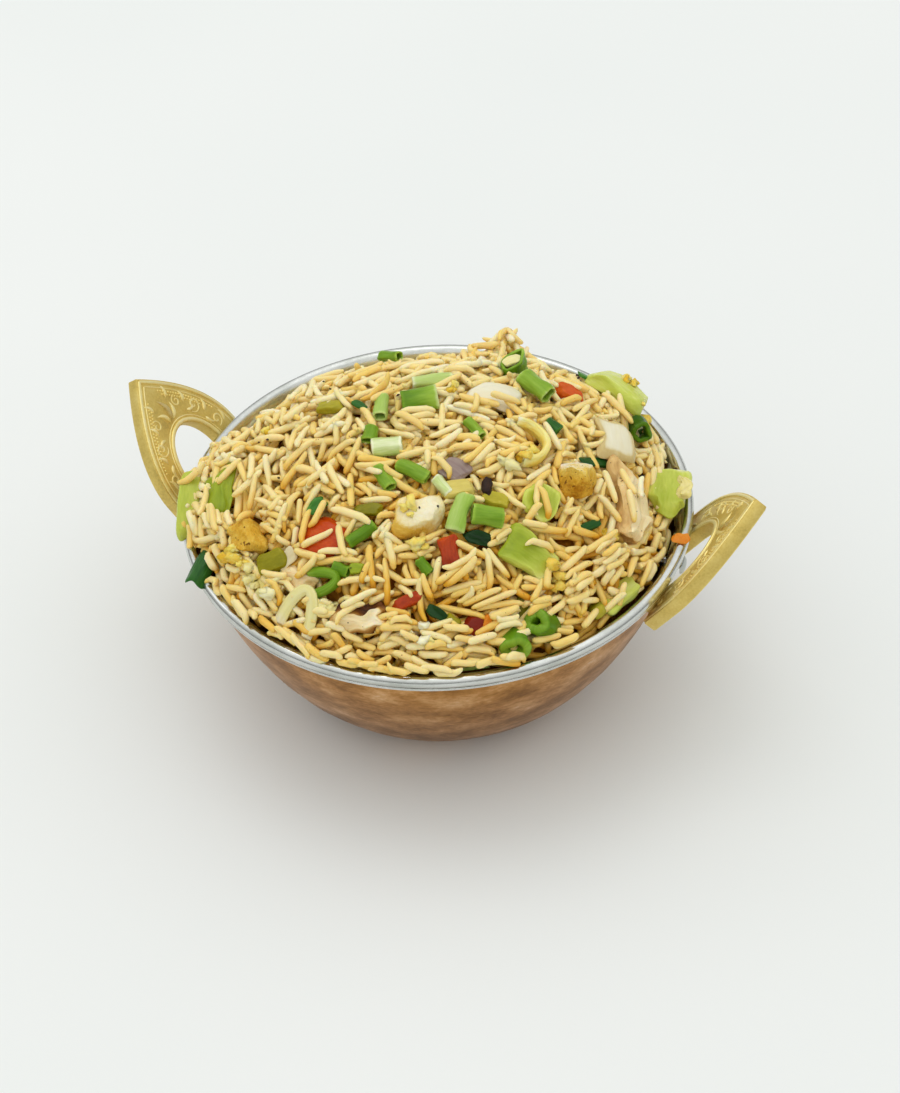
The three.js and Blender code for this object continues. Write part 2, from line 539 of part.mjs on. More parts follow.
const TOPPINGS = [
  // Spring onion: cut lengths of hollow green stem, and leaf
  piece("onion_crown_light", tube, "onionPale", [-5, 14, 25], [13, 4.4, 4]),
  piece("onion_crown_flat", tube, "onionGreen", [-5, 2, 28], [11.5, 8, 4.2], { roll: 25, lift: 2 }),
  piece("onion_crown_silver", tube, "onionGreen", [-16, -3, -75], [10, 4.6, 3.8]),
  piece("onion_back_small", tube, "onionGreen", [-26, 31, -19], [8.5, 4, 3.4]),
  piece("onion_slice_crown", tube, "onionGreen", [15, -4, -39], [8.5, 3.6, 3]),
  piece("onion_striped", tube, "onionPale", [-8, -20, 22], [9.5, 6, 4.6]),
  piece("onion_split", tube, "onionGreen", [-5, -31, -46], [9, 4.6, 3.6]),
  piece("onion_mid", tube, "onionGreen", [3, -27, -12], [10.5, 4.8, 4.2], { bend: 0.5 }),
  piece("onion_pale", tube, "onionPale", [13.6, -29.6, -35], [7.5, 3.8, 3.2], { lift: 0.8 }),
  piece("onion_ring_back", tube, "onionGreen", [16, 38, -110], [9, 7.4, 6.4],
    { pitch: -12, slant: -0.3 }),
  piece("onion_tube_back", tube, "onionGreen", [26, 24, -20], [11.5, 7, 5.6]),
  piece("onion_crumple", tube, "onionPale", [21.3, -36.6, -86], [13, 5.6, 3.6], { bend: 1.2, lift: 1.4 }),
  piece("onion_right", tube, "onionGreen", [29.2, -34.4, 14], [9.4, 5.8, 4.6]),
  piece("onion_leaf_dark", slab, "darkGreen", [28.4, -40.6, 12], [8, 4.4, 0.9], { wave: 1, cells: [4, 2] }),
  piece("onion_shaded", tube, "onionGreen", [-6, -49, 51], [10, 3.8, 3.2]),
  piece("onion_curl", curl, "onionGreen", [-14, -62, 27], [9.5, 2.8, 2.8], { spread: 6.4, lift: 0.6 }),
  piece("onion_ring_right", tube, "darkGreen", [57, 36, -70], [6, 8, 7], { pitch: -14 }),
  piece("onion_under_petal", slab, "darkGreen", [50.8, 8.2, 40], [13, 3.8, 1],
    { cells: [4, 1], lift: -1.2 }),
  piece("onion_dark_right", slab, "darkGreen", [56.5, -17, 56], [9, 2.8, 1], { cells: [3, 1] }),
  piece("onion_front_upright", tube, "onionGreen", [44, -57, -66], [9, 7.4, 6.8],
    { pitch: 12, stand: 0.6, lift: 1.6 }),
  piece("onion_front_leaning", tube, "onionGreen", [51.5, -50, -34], [9.5, 7, 6.4],
    { pitch: 14, stand: 0.6, lift: 1.4 }),
  piece("onion_front_strip", slab, "onionPale", [31.2, -68.4, 24.5], [17, 2.2, 1.2],
    { height: 65, stand: 1, cells: [4, 1] }),
  piece("onion_rim_leaf", slab, "darkGreen", [-60, -50.5, -112], [15, 8, 0.9],
    { bend: 1.5, wave: 0.6, height: 69.8, stand: 1, cells: [4, 2] }),
  // Celery and green pepper: thick cut pieces
  piece("celery_back", slab, "celery", [47, 49, -12], [21, 14, 6],
    { bend: 1.4, taper: 0.3, lift: 2.4, stand: 0.3 }),
  piece("celery_left", slab, "celery", [-71.5, -34, -73], [21, 8, 5.5],
    { bend: 0.8, height: 75, stand: 1, pitch: 28 }),
  piece("celery_left_inner", slab, "celery", [-61, -36, -88], [18, 8, 3], { cup: 0.6 }),
  piece("celery_slice", slab, "celery", [42, -21.5, -77], [12.5, 11, 2.6],
    { cup: -1.2, crown: 0.6, lift: 1 }),
  piece("celery_large", slab, "celery", [43, -38.2, -16], [15.5, 13, 4],
    { bend: 1.2, taper: 0.25, lift: 0.8 }),
  piece("celery_rim", slab, "celery", [72, 22, -76], [16, 11, 3.6],
    { bend: 0.6, height: 70.6, stand: 1 }),
  piece("celery_front_right", slab, "celery", [68.4, -27, 69], [16, 7, 4], { height: 67, stand: 0.8 }),
  piece("celery_thin_mid", slab, "olive", [29.5, -27, 8], [8.5, 4.6, 2.4], { cells: [2, 2] }),
  piece("pepper_green_left", slab, "olive", [-33, -57, 30], [10, 7, 3.6], { cells: [2, 2] }),
  piece("pepper_green_rim", slab, "olive", [-49.5, -54.5, -40], [9, 3.6, 2.4], { cells: [2, 1] }),
  piece("pepper_green_mid", slab, "olive", [-6.5, -41.5, 14], [8.5, 4, 2], { cells: [2, 1] }),
  piece("pepper_green_back", slab, "olive", [-33, -4, 4], [8.7, 5, 2.6], { cells: [2, 2] }),
  // Red pepper and tomato
  piece("tomato_left", slab, "red", [-19.2, -50.5, 6], [15, 13, 2.6],
    { bend: 1.2, cup: 0.6, lift: -0.3 }),
  piece("tomato_mid", slab, "red", [22, -48, -62], [9, 6, 3.2], { cells: [2, 2] }),
  piece("tomato_front", slab, "red", [13, -62, 44], [10, 3.6, 2.2], { cells: [3, 1] }),
  piece("tomato_back", slab, "red", [35, 31, 4], [9, 5, 3.4], { cells: [2, 2], roll: 15 }),
  piece("tomato_dark_front", slab, "brown", [34, -60, -12], [9, 6.5, 3], { cells: [2, 2] }),
  // Onion petals
  piece("petal_back", slab, "whiteOnion", [16, 13, 10], [17, 11, 2.2],
    { bend: 1.6, cup: 0.8, lift: 0.8 }),
  piece("petal_right", slab, "whiteOnion", [54, 20, -52], [13, 12, 1.6],
    { bend: 1.2, cup: 0.8, lift: 4.5, roll: 12 }),
  piece("petal_purple", slab, "purpleOnion", [14, -21.5, -22], [9, 8, 1.4], { bend: 0.6, cells: [2, 2] }),
  // Paneer, chicken and egg
  piece("paneer_mid", slab, "paneer", [9.2, -40.2, 21], [13, 11, 8],
    { crown: 0.12, lift: 0.4, cells: [2, 2] }),
  piece("paneer_right", slab, "golden", [48.5, -7.2, -75], [11, 9, 9],
    { crown: 0.15, lift: 1.2, cells: [2, 2] }),
  piece("paneer_left", slab, "golden", [-43.8, -50.3, -70], [10.5, 9, 8],
    { crown: 0.15, lift: 0.6, cells: [2, 2] }),
  piece("chicken_front", slab, "brown", [1.5, -69, 14], [15, 9, 7], { crown: 0.3, lift: 0.6 }),
  piece("chicken_flaky", slab, "paneer", [65.5, -1, -56], [24, 11, 5],
    { taper: 0.35, bend: 1, lift: 0.6, cells: [4, 2] }),
  piece("egg_curl", slab, "egg", [33.5, -2.5, -66], [18, 7, 2.2],
    { bend: 1, cup: -1, cells: [4, 2], lift: 0.4 }),
  // Cabbage strips
  piece("cabbage_loop", slab, "cabbage", [-20.5, -68.5, -34], [15, 4, 1.4],
    { bend: 4, lift: 4.4, crown: 0, cells: [6, 1] }),
  piece("cabbage_strip", slab, "cabbage", [-29.5, -65, -42], [15, 3.4, 1.2],
    { bend: 0.8, crown: 0, cells: [4, 1] }),
  piece("carrot_bit", slab, "carrot", [79.6, 6, -84], [4.6, 3.4, 1.4],
    { height: 68.2, stand: 1, cells: [1, 1] }),
];

// Rice grain with pointed ends along X
function grainShape(length, width) {
  const grain = new THREE.SphereGeometry(1, GRAIN_SIDES, GRAIN_BANDS).rotateZ(Math.PI / 2);
  return grain.scale(length / 2, width / 2, width / 2);
}

const overlaps = (solid, others) => others.some((other) => !solid.intersect(other).isEmpty());

// Grain at a spot: turned away where it would cross another piece, and sunk until it meets the core
function fittedGrain(length, width, spot, core, obstacles) {
  for (const swing of GRAIN_SWINGS) {
    for (const sink of GRAIN_SINKS) {
      const place = { ...spot, turn: spot.turn + swing, lift: spot.lift - sink };
      const grown = solidOf(onHeap(grainShape(length + 4 * GAP, width + 4 * GAP), place));
      if (overlaps(grown, obstacles)) break;
      const grain = solidOf(onHeap(grainShape(length, width), place));
      if (grain.intersect(core).volume() > GRAIN_HOLD * grain.volume()) return [grain];
    }
  }
  return [];
}

// Grains spread evenly over the heap, the longest first
function heapGrains(core, obstacles) {
  const draw = drawFrom(GRAIN_SEED);
  const fraction = (value) => value - Math.floor(value);
  const grains = [];
  for (let i = 1; grains.length < GRAIN_COUNT; i += 1) {
    const radius = (HEAP_RADIUS - BEAD_RADIUS) * fraction(SPREAD_RADIAL * i) ** SPREAD_POWER;
    const bearing = 2 * Math.PI * fraction(SPREAD_ROUND * i);
    const length = GRAIN_LENGTH * (1 - (GRAIN_SHORTENING * grains.length) / GRAIN_COUNT);
    const width = GRAIN_WIDTH * (0.9 + 0.2 * draw());
    const spot = {
      x: radius * Math.cos(bearing), y: radius * Math.sin(bearing), turn: 360 * draw(),
      lift: -width * (0.4 + 0.15 * draw()), pitch: GRAIN_TILT * (draw() - 0.5),
    };
    grains.push(...fittedGrain(length, width, spot, core, obstacles));
  }
  return grains;
}

// Grains that lie out over the rim where the rice overhangs it
function rimGrains(core, obstacles) {
  const draw = drawFrom(GRAIN_SEED + 1);
  const { from, to, step } = RIM_GRAIN_BEARINGS;
  const grains = [];
  for (let bearing = from; bearing <= to; bearing += step) {
    const angle = THREE.MathUtils.degToRad(bearing);
    const radius = HEAP_RADIUS + BEAD_RADIUS * draw();
    const spot = {
      x: radius * Math.cos(angle), y: radius * Math.sin(angle),
      turn: bearing + RIM_GRAIN_SWING * (draw() - 0.5),
      height: RIM_HEIGHT + BEAD_RADIUS + 3 * draw(), stand: 1, pitch: RIM_GRAIN_TILT, lift: 0,
    };
    grains.push(...fittedGrain(GRAIN_LENGTH, GRAIN_WIDTH, spot, core, obstacles));
  }
  return grains;
}

// Small bits that lie clear of the larger pieces
function riceBits(obstacles) {
  const shaped = ([x, y, turn, long, wide, thick], grow) => {
    const size = { long: long + grow, wide: wide + grow, thick: thick + grow };
    return solidOf(onHeap(slab({ ...size, crown: 0.4, cells: [2, 2] }), { x, y, turn, thick }));
  };
  return BITS.filter((bit) => !overlaps(shaped(bit, 2 * GAP), obstacles)).map((bit) => shaped(bit, 0));
}

function riceHeap(core, obstacles) {
  const grains = [...heapGrains(core, obstacles), ...rimGrains(core, obstacles)];
  return wasm.Manifold.union([core, ...grains, ...riceBits(obstacles)]);
}

const group = new THREE.Group();
const add = (name, finish, solid) => group.add(named(name, finish, geometryOf(solid)));

const faces = rivetFaces();
const bore = rivetBore(RIVET_SHANK_RADIUS + GAP, 0, RIM_RADIUS + BEAD_RADIUS);
const bores = bore.add(oppositeSide(bore));
const linerSolid = solidOf(steelLiner()).subtract(bores);
add("copper_jacket", "copper", solidOf(copperJacket()).subtract(bores));
add("steel_liner", "steel", linerSolid);

const handle = solidOf(handlePlate()).subtract(wallCutter()).add(handleStrap()).subtract(bore);
add("handle_right", "brass", handle);
add("handle_left", "brass", oppositeSide(handle));
const rivetSolid = solidOf(rivet());
add("rivet_right", "steel", rivetSolid);
add("rivet_left", "steel", oppositeSide(rivetSolid));

// The toppings are fitted to the bare core, and the grains to the toppings
const coreSpace = solidOf(riceCore(CORE_DEPTH - GAP, 0));
const toppings = TOPPINGS.map((topping) => {
  const solid = largestBody(solidOf(onHeap(topping.make(topping), topping)).subtract(coreSpace));
  add(topping.name, topping.finish, solid);
  return solid;
});

const headHollow = rivetBore(RIVET_HEAD_RADIUS + GAP, faces.inside - RIVET_HEAD_RISE - GAP, RIM_RADIUS);
const headHollows = headHollow.add(oppositeSide(headHollow));
const core = solidOf(riceCore(CORE_DEPTH, GAP)).subtract(headHollows);
add("rice_heap", "rice", riceHeap(core, [linerSolid, rivetSolid, oppositeSide(rivetSolid), ...toppings]));

export default group;
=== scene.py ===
"""Fried rice heaped in a small copper karahi bowl with two cast brass handles.

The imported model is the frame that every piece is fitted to. Shapes are worked out in millimetres
in the frame's own axes, with +Z up and the origin in the middle of the bowl's base, and a
finished mesh is scaled to metres.
"""

import logging
import math
from dataclasses import dataclass
from enum import Enum
from typing import Callable, Optional, Sequence

import bmesh
import bpy
import numpy as np
from mathutils import Matrix, Vector, noise
from mathutils.bvhtree import BVHTree

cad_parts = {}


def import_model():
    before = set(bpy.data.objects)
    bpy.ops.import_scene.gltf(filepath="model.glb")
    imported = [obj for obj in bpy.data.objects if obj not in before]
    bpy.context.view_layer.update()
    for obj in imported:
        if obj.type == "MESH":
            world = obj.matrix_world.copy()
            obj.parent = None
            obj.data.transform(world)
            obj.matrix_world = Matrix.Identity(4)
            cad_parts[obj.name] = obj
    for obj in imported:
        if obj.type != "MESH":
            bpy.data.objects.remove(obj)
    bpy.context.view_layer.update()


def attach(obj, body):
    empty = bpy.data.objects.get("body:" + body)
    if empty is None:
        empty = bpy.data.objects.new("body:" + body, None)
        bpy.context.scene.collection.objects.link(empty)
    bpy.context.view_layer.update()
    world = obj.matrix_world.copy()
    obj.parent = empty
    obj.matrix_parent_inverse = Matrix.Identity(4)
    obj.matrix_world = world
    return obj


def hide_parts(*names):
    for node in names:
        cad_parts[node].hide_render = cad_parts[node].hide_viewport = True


log = logging.getLogger("fried_rice")

METRES = 0.001
NOISE_SEED = 7

# Steps round the liner's bead and over a rivet's dome
BEAD_STEPS = 22
DOME_STEPS = 8

# Middle of a noise, and the shine of moist food
MIDDLE = 0.5
FOOD_SHINE = 0.14
FOOD_COAT = 0.3
FOOD_COAT_ROUGHNESS = 0.2

Point = tuple[float, float]
Stop = tuple[float, str]


def linear(code: str) -> tuple[float, float, float, float]:
    """Turns a display colour code into Blender's linear colour.

    Args:
        code: Six hexadecimal digits, red first.

    Returns:
        Red, green, blue and alpha.
    """
    def channel(start: int) -> float:
        """One channel of the code in linear light."""
        value = int(code[start:start + 2], 16) / 255
        return value / 12.92 if value <= 0.04045 else ((value + 0.055) / 1.055) ** 2.4
    return (channel(0), channel(2), channel(4), 1.0)


def smoothstep(low: float, high: float, value: object) -> object:
    """Eases a value, or an array of values, from 0 at low to 1 at high."""
    share = np.clip((value - low) / (high - low), 0, 1)
    return share * share * (3 - 2 * share)


class Graph:
    """A node tree with short calls that add nodes and wire them up."""

    def __init__(self, tree: bpy.types.NodeTree) -> None:
        """Keeps the tree and empties it."""
        self.tree = tree
        tree.nodes.clear()

    def add(self, kind: str, inputs: Optional[dict] = None, **settings: object) -> bpy.types.Node:
        """Adds a node.

        Args:
            kind: The node's type name.
            inputs: Socket names or numbers with a value, or with a socket to link from.
            **settings: Properties of the node.

        Returns:
            The new node.
        """
        made = self.tree.nodes.new(kind)
        for name, value in settings.items():
            setattr(made, name, value)
        self.feed(made, inputs or {})
        return made

    def feed(self, node: bpy.types.Node, inputs: dict) -> None:
        """Links or sets the listed sockets of a node."""
        for name, value in inputs.items():
            if isinstance(value, bpy.types.NodeSocket):
                self.tree.links.new(value, node.inputs[name])
            else:
                node.inputs[name].default_value = value

    def math(self, operation: str, first: object, second: object,
             **settings: object) -> bpy.types.NodeSocket:
        """Adds a Math node and returns its result."""
        inputs = {0: first, 1: second}
        return self.add("ShaderNodeMath", inputs, operation=operation, **settings).outputs[0]

    def mix(self, factor: object, first: object, second: object) -> bpy.types.NodeSocket:
        """Adds a Mix node for two colours and returns its result."""
        made = self.add("ShaderNodeMix", {0: factor, 6: first, 7: second}, data_type="RGBA")
        return made.outputs[2]

    def cloud(self, place: object, scale: object, **inputs: float) -> bpy.types.NodeSocket:
        """Adds a Noise Texture and returns its factor."""
        inputs = {"Vector": place, "Scale": scale, **inputs}
        return self.add("ShaderNodeTexNoise", inputs).outputs["Fac"]

    def carried(self, name: str, kind: str) -> bpy.types.NodeSocket:
        """Adds an Attribute node and returns one of its results."""
        return self.add("ShaderNodeAttribute", attribute_name=name).outputs[kind]

    def stretched(self, place: object, scale: tuple[float, ...]) -> bpy.types.NodeSocket:
        """Adds a Mapping node that scales coordinates along each axis, and returns its result."""
        return self.add("ShaderNodeMapping", {"Vector": place, "Scale": scale}).outputs["Vector"]

    def group(self, shared: "type[SharedGroup]", inputs: dict) -> bpy.types.NodeSocket:
        """Adds a shared group and returns its result."""
        return self.add("ShaderNodeGroup", inputs, node_tree=shared.tree()).outputs[0]

    def ramp(self, factor: bpy.types.NodeSocket, stops: Sequence[Stop]) -> bpy.types.NodeSocket:
        """Adds a colour ramp.

        Args:
            factor: What drives the ramp.
            stops: Places from 0 to 1 with their colour codes.

        Returns:
            The ramp's colour.
        """
        made = self.add("ShaderNodeValToRGB", {"Fac": factor})
        elements = made.color_ramp.elements
        elements.remove(elements[1])
        elements[0].position = stops[0][0]
        elements[0].color = linear(stops[0][1])
        for place, code in stops[1:]:
            elements.new(place).color = linear(code)
        return made.outputs["Color"]


class SharedGroup:
    """A node group that materials share, with a vector and some numbers going in."""

    name: str
    numbers: tuple[str, ...]
    result: tuple[str, str]

    @classmethod
    def tree(cls) -> bpy.types.NodeTree:
        """Builds the group once and returns it."""
        known = bpy.data.node_groups.get(cls.name)
        if known:
            return known
        tree = bpy.data.node_groups.new(cls.name, "ShaderNodeTree")
        result, kind = cls.result
        for socket, way, sort in [("Vector", "INPUT", "Vector"),
                                  *((number, "INPUT", "Float") for number in cls.numbers),
                                  (result, "OUTPUT", kind)]:
            tree.interface.new_socket(socket, in_out=way, socket_type=f"NodeSocket{sort}")
        graph = Graph(tree)
        made = cls.wire(graph, graph.add("NodeGroupInput").outputs)
        graph.add("NodeGroupOutput", {result: made})
        return tree

    @classmethod
    def wire(cls, graph: Graph, source: bpy.types.NodeOutputs) -> bpy.types.NodeSocket:
        """Adds the group's own nodes and returns what it puts out."""
        raise NotImplementedError


class Patches(SharedGroup):
    """Shared node group: a tint made uneven by large patches and small flecks."""

    name = "uneven_tint"
    numbers = ("Tint", "Patch Scale", "Patch Amount", "Fleck Scale", "Fleck Amount")
    result = ("Factor", "Float")

    @classmethod
    def wire(cls, graph: Graph, source: bpy.types.NodeOutputs) -> bpy.types.NodeSocket:
        """Adds a swing to the tint for each size of noise."""
        total = source["Tint"]
        for kind in ("Patch", "Fleck"):
            cloud = graph.cloud(source["Vector"], source[f"{kind} Scale"], Detail=3.0, Roughness=0.6)
            swing = graph.math("SUBTRACT", cloud, MIDDLE)
            total = graph.math("ADD", total, graph.math("MULTIPLY", swing, source[f"{kind} Amount"]))
        return total


class Relief(SharedGroup):
    """Shared node group: a normal roughened by coarse and fine noise."""

    name = "fine_relief"
    numbers = ("Coarse Scale", "Coarse Height", "Fine Scale", "Fine Height")
    result = ("Normal", "Vector")

    @classmethod
    def wire(cls, graph: Graph, source: bpy.types.NodeOutputs) -> bpy.types.NodeSocket:
        """Adds up the heights of both sizes of noise for one bump."""
        heights = []
        for kind in ("Coarse", "Fine"):
            cloud = graph.cloud(source["Vector"], source[f"{kind} Scale"], Detail=2.0)
            heights.append(graph.math("MULTIPLY", cloud, source[f"{kind} Height"]))
        return graph.add("ShaderNodeBump", {
            "Height": graph.math("ADD", *heights), "Distance": METRES, "Strength": 1.0,
        }).outputs["Normal"]


class Specks(SharedGroup):
    """Shared node group: a mask of small scattered specks."""

    name = "small_specks"
    numbers = ("Scale", "Edge")
    result = ("Mask", "Float")
    sharpness = 16.0

    @classmethod
    def wire(cls, graph: Graph, source: bpy.types.NodeOutputs) -> bpy.types.NodeSocket:
        """Keeps what the noise has over the edge."""
        cloud = graph.cloud(source["Vector"], source["Scale"], Detail=1.0)
        over = graph.math("SUBTRACT", cloud, source["Edge"])
        return graph.math("MULTIPLY", over, cls.sharpness, use_clamp=True)


def new_material(name: str) -> tuple[bpy.types.Material, Graph, bpy.types.Node]:
    """Starts a material.

    Args:
        name: The material's name.

    Returns:
        The material, its graph and its Principled shader.
    """
    made = bpy.data.materials.new(name)
    made.use_nodes = True
    graph = Graph(made.node_tree)
    shader = graph.add("ShaderNodeBsdfPrincipled")
    graph.add("ShaderNodeOutputMaterial", {"Surface": shader.outputs["BSDF"]})
    return made, graph, shader


@dataclass(frozen=True)
class Coat:
    """A finish: its name, a material slot name and a ramp of colours along the tint."""

    name: str
    slot: str
    stops: tuple[Stop, ...]

    def material(self) -> bpy.types.Material:
        """Builds the material once and returns it."""
        known = bpy.data.materials.get(self.name)
        if known:
            return known
        made, graph, shader = new_material(self.name)
        graph.feed(shader, self.paint(graph))
        return made

    def paint(self, graph: Graph) -> dict:
        """Adds the finish's nodes and returns what goes into the shader."""
        raise NotImplementedError


@dataclass(frozen=True)
class FoodFinish(Coat):
    """Finish of a food.

    Patches, flecks and relief have sizes in millimetres. They read the piece's own local
    coordinates, so fibres run along each piece.
    """

    patch: float = 4.0
    patch_amount: float = 0.5
    fleck: float = 0.7
    fleck_amount: float = 0.25
    fibre: float = 1.0
    roughness: float = 0.38
    flesh: float = 0.25
    glow: tuple[float, float, float] = (1.0, 0.7, 0.35)
    coarse_relief: float = 0.12
    fine_relief: float = 0.05
    wet: float = 0.25
    speck_edge: float = 1.0
    speck_size: float = 0.8
    speck_code: str = "4a2a0c"

    def paint(self, graph: Graph) -> dict:
        """Adds the finish's nodes and returns what goes into the shader."""
        local = graph.carried("local", "Vector")
        tint = graph.carried("tint", "Fac")
        along = graph.stretched(local, (1 / self.fibre, 1.0, 1.0))
        uneven = graph.group(Patches, {
            "Vector": along, "Tint": tint, "Patch Scale": 1 / self.patch,
            "Patch Amount": self.patch_amount, "Fleck Scale": 1 / self.fleck,
            "Fleck Amount": self.fleck_amount,
        })
        relief = graph.group(Relief, {
            "Vector": along, "Coarse Scale": 1 / (0.35 * self.patch),
            "Coarse Height": self.coarse_relief, "Fine Scale": 1 / (0.6 * self.fleck),
            "Fine Height": self.fine_relief,
        })
        colour = graph.ramp(uneven, self.stops)
        if self.speck_edge < 1:
            specks = graph.group(Specks, {
                "Vector": local, "Scale": 1 / self.speck_size, "Edge": self.speck_edge,
            })
            colour = graph.mix(specks, colour, linear(self.speck_code))
        return {
            "Base Color": colour, "Normal": relief, "Roughness": self.roughness,
            "Subsurface Weight": self.flesh, "Subsurface Radius": self.glow,
            "Subsurface Scale": METRES, "Specular IOR Level": FOOD_SHINE,
            "Coat Weight": FOOD_COAT * self.wet, "Coat Roughness": FOOD_COAT_ROUGHNESS,
        }


class Finish(Enum):
    """The finishes of the food."""

    RICE = FoodFinish(
        "rice_grain", "rice", ((0.0, "b46c04"), (0.3, "e8b034"), (0.55, "f6d478"), (0.8, "fae5a8"),
                               (1.0, "fcf1cc")),
        patch=5.0, patch_amount=0.2, fleck=1.2, fleck_amount=0.12, roughness=0.36, flesh=0.5,
        glow=(1.0, 0.7, 0.3), coarse_relief=0.04, fine_relief=0.02, speck_edge=0.75,
        speck_size=0.9, speck_code="8a4f1c", wet=0.15)
    # Painted shade: the rice under the loose grains is coloured dark brown to stand for the shade deep in
    # the gaps between grains.
    CORE = FoodFinish(
        "rice_depth_shade", "rice", ((0.0, "3c2000"), (0.5, "985c06"), (1.0, "d6981e")), patch=6.0,
        patch_amount=0.9, fleck=2.2, fleck_amount=0.9, roughness=0.5, coarse_relief=0.8,
        fine_relief=0.4, wet=0.1)
    ONION_GREEN = FoodFinish(
        "spring_onion_green", "onion_green", ((0.0, "345c06"), (0.35, "668f16"), (0.7, "9aba3e"),
                                              (1.0, "dce6a6")),
        patch=3.0, patch_amount=0.45, fleck=0.5, fleck_amount=0.3, fibre=9.0, roughness=0.3,
        glow=(0.8, 1.0, 0.3), coarse_relief=0.2, fine_relief=0.08)
    ONION_PALE = FoodFinish(
        "spring_onion_pale", "onion_pale", ((0.0, "5c9022"), (0.4, "98ba46"), (0.75, "c4d682"),
                                            (1.0, "f0f2cc")),
        patch=3.0, patch_amount=0.45, fleck=0.5, fleck_amount=0.3, fibre=9.0, roughness=0.28,
        glow=(0.9, 1.0, 0.4), coarse_relief=0.2, fine_relief=0.08)
    LEAF_DARK = FoodFinish(
        "leaf_dark", "dark_green", ((0.0, "0c260a"), (0.5, "22541c"), (0.85, "44802c"),
                                    (1.0, "88ae5c")),
        patch=3.0, fleck=0.6, fibre=6.0, roughness=0.3, flesh=0.1, glow=(0.7, 1.0, 0.4),
        coarse_relief=0.25, fine_relief=0.1)
    CELERY = FoodFinish(
        "celery_flesh", "celery", ((0.0, "6a8210"), (0.35, "a0b02a"), (0.65, "cad25c"), (1.0, "f0f0b4")),
        patch=5.0, patch_amount=0.55, fleck=0.8, fibre=5.0, roughness=0.24,
        flesh=0.4, glow=(0.8, 1.0, 0.25), wet=0.5, coarse_relief=0.2, fine_relief=0.08)
    PEPPER = FoodFinish(
        "pepper_flesh", "olive", ((0.0, "4f5204"), (0.45, "8c8610"), (0.8, "bcae30"),
                                  (1.0, "d9cf7c")),
        fleck=0.8, fibre=2.0, roughness=0.28, flesh=0.3, glow=(0.9, 1.0, 0.2), wet=0.4,
        coarse_relief=0.2, fine_relief=0.08)
    TOMATO = FoodFinish(
        "tomato_red", "red", ((0.0, "80200a"), (0.4, "c6480c"), (0.75, "e07226"), (1.0, "f4a860")),
        fleck=0.8, fleck_amount=0.35, fibre=2.5, roughness=0.26,
        flesh=0.35, glow=(1.0, 0.25, 0.1), wet=0.45, coarse_relief=0.25, fine_relief=0.1)
    ONION_WHITE = FoodFinish(
        "onion_petal_white", "white_onion", ((0.0, "a8894a"), (0.35, "d3bd82"), (0.6, "e6dcb8"),
                                             (1.0, "f7f3e2")),
        patch=5.0, patch_amount=0.4, fleck=0.8, fleck_amount=0.2, fibre=6.0, roughness=0.18,
        flesh=0.45, glow=(1.0, 0.9, 0.6), wet=0.6, coarse_relief=0.2)
    ONION_PURPLE = FoodFinish(
        "onion_petal_purple", "purple_onion", ((0.0, "5b4347"), (0.4, "95807b"), (0.8, "bdb09f"),
                                               (1.0, "ddd3be")),
        patch=2.5, patch_amount=0.6, fleck=0.6, fibre=7.0, roughness=0.22, flesh=0.4,
        glow=(1.0, 0.7, 0.7), wet=0.5)
    PANEER = FoodFinish(
        "paneer_cheese", "paneer", ((0.0, "8f560e"), (0.25, "cd9322"), (0.45, "e8bf52"), (0.62, "f3e2ab"),
                             (1.0, "fbf6e4")),
        patch_amount=0.3, fleck=0.9, fleck_amount=0.3, roughness=0.5, flesh=0.35,
        glow=(1.0, 0.8, 0.5), coarse_relief=0.4, fine_relief=0.2, wet=0.15)
    PANEER_FRIED = FoodFinish(
        "paneer_fried", "golden", ((0.0, "744009"), (0.3, "b87c16"), (0.5, "dcaa34"),
                                   (0.75, "eccb5e"), (1.0, "fbf3dc")),
        patch=3.5, fleck=0.9, fleck_amount=0.4, roughness=0.5, flesh=0.3,
        glow=(1.0, 0.7, 0.3), coarse_relief=0.6, fine_relief=0.3, wet=0.15, speck_edge=0.66,
        speck_size=1.2, speck_code="80500f")
    CHICKEN = FoodFinish(
        "chicken_meat", "golden", ((0.0, "2e1408"), (0.2, "6d3f1a"), (0.4, "b07c3a"), (0.6, "e3c07f"),
                              (0.8, "f3dfae"), (1.0, "fbf0d4")),
        patch_amount=0.4, fleck=0.8, fleck_amount=0.35, fibre=5.0, roughness=0.45,
        flesh=0.3, coarse_relief=0.45, fine_relief=0.2, speck_edge=0.72)
    EGG = FoodFinish(
        "egg_scrambled", "egg", ((0.0, "c48c10"), (0.3, "edbf30"), (0.6, "f9df70"), (0.85, "fcf0aa"),
                       (1.0, "fdf8dc")),
        patch=2.6, patch_amount=0.55, fleck=0.7, fleck_amount=0.3, roughness=0.42, flesh=0.35,
        glow=(1.0, 0.7, 0.25), coarse_relief=0.4, fine_relief=0.15)
    CABBAGE = FoodFinish(
        "cabbage_strip", "cabbage", ((0.0, "b8a13c"), (0.4, "ddcb6c"), (0.75, "efe5a6"),
                               (1.0, "faf6dc")),
        patch=3.0, fleck=0.6, fibre=6.0, roughness=0.26,
        flesh=0.4, glow=(1.0, 0.95, 0.4), wet=0.4, coarse_relief=0.2)
    CARROT = FoodFinish(
        "carrot_slice", "carrot", ((0.0, "b35c0a"), (0.5, "e0871c"), (1.0, "f0b050")),
        patch=3.0, roughness=0.28, flesh=0.4, glow=(1.0, 0.45, 0.1), wet=0.4)
    SPICE = FoodFinish(
        "dark_spice", "brown", ((0.0, "120a06"), (0.6, "2c1a10"), (1.0, "5a3a20")),
        patch=2.0, roughness=0.5, flesh=0.0)


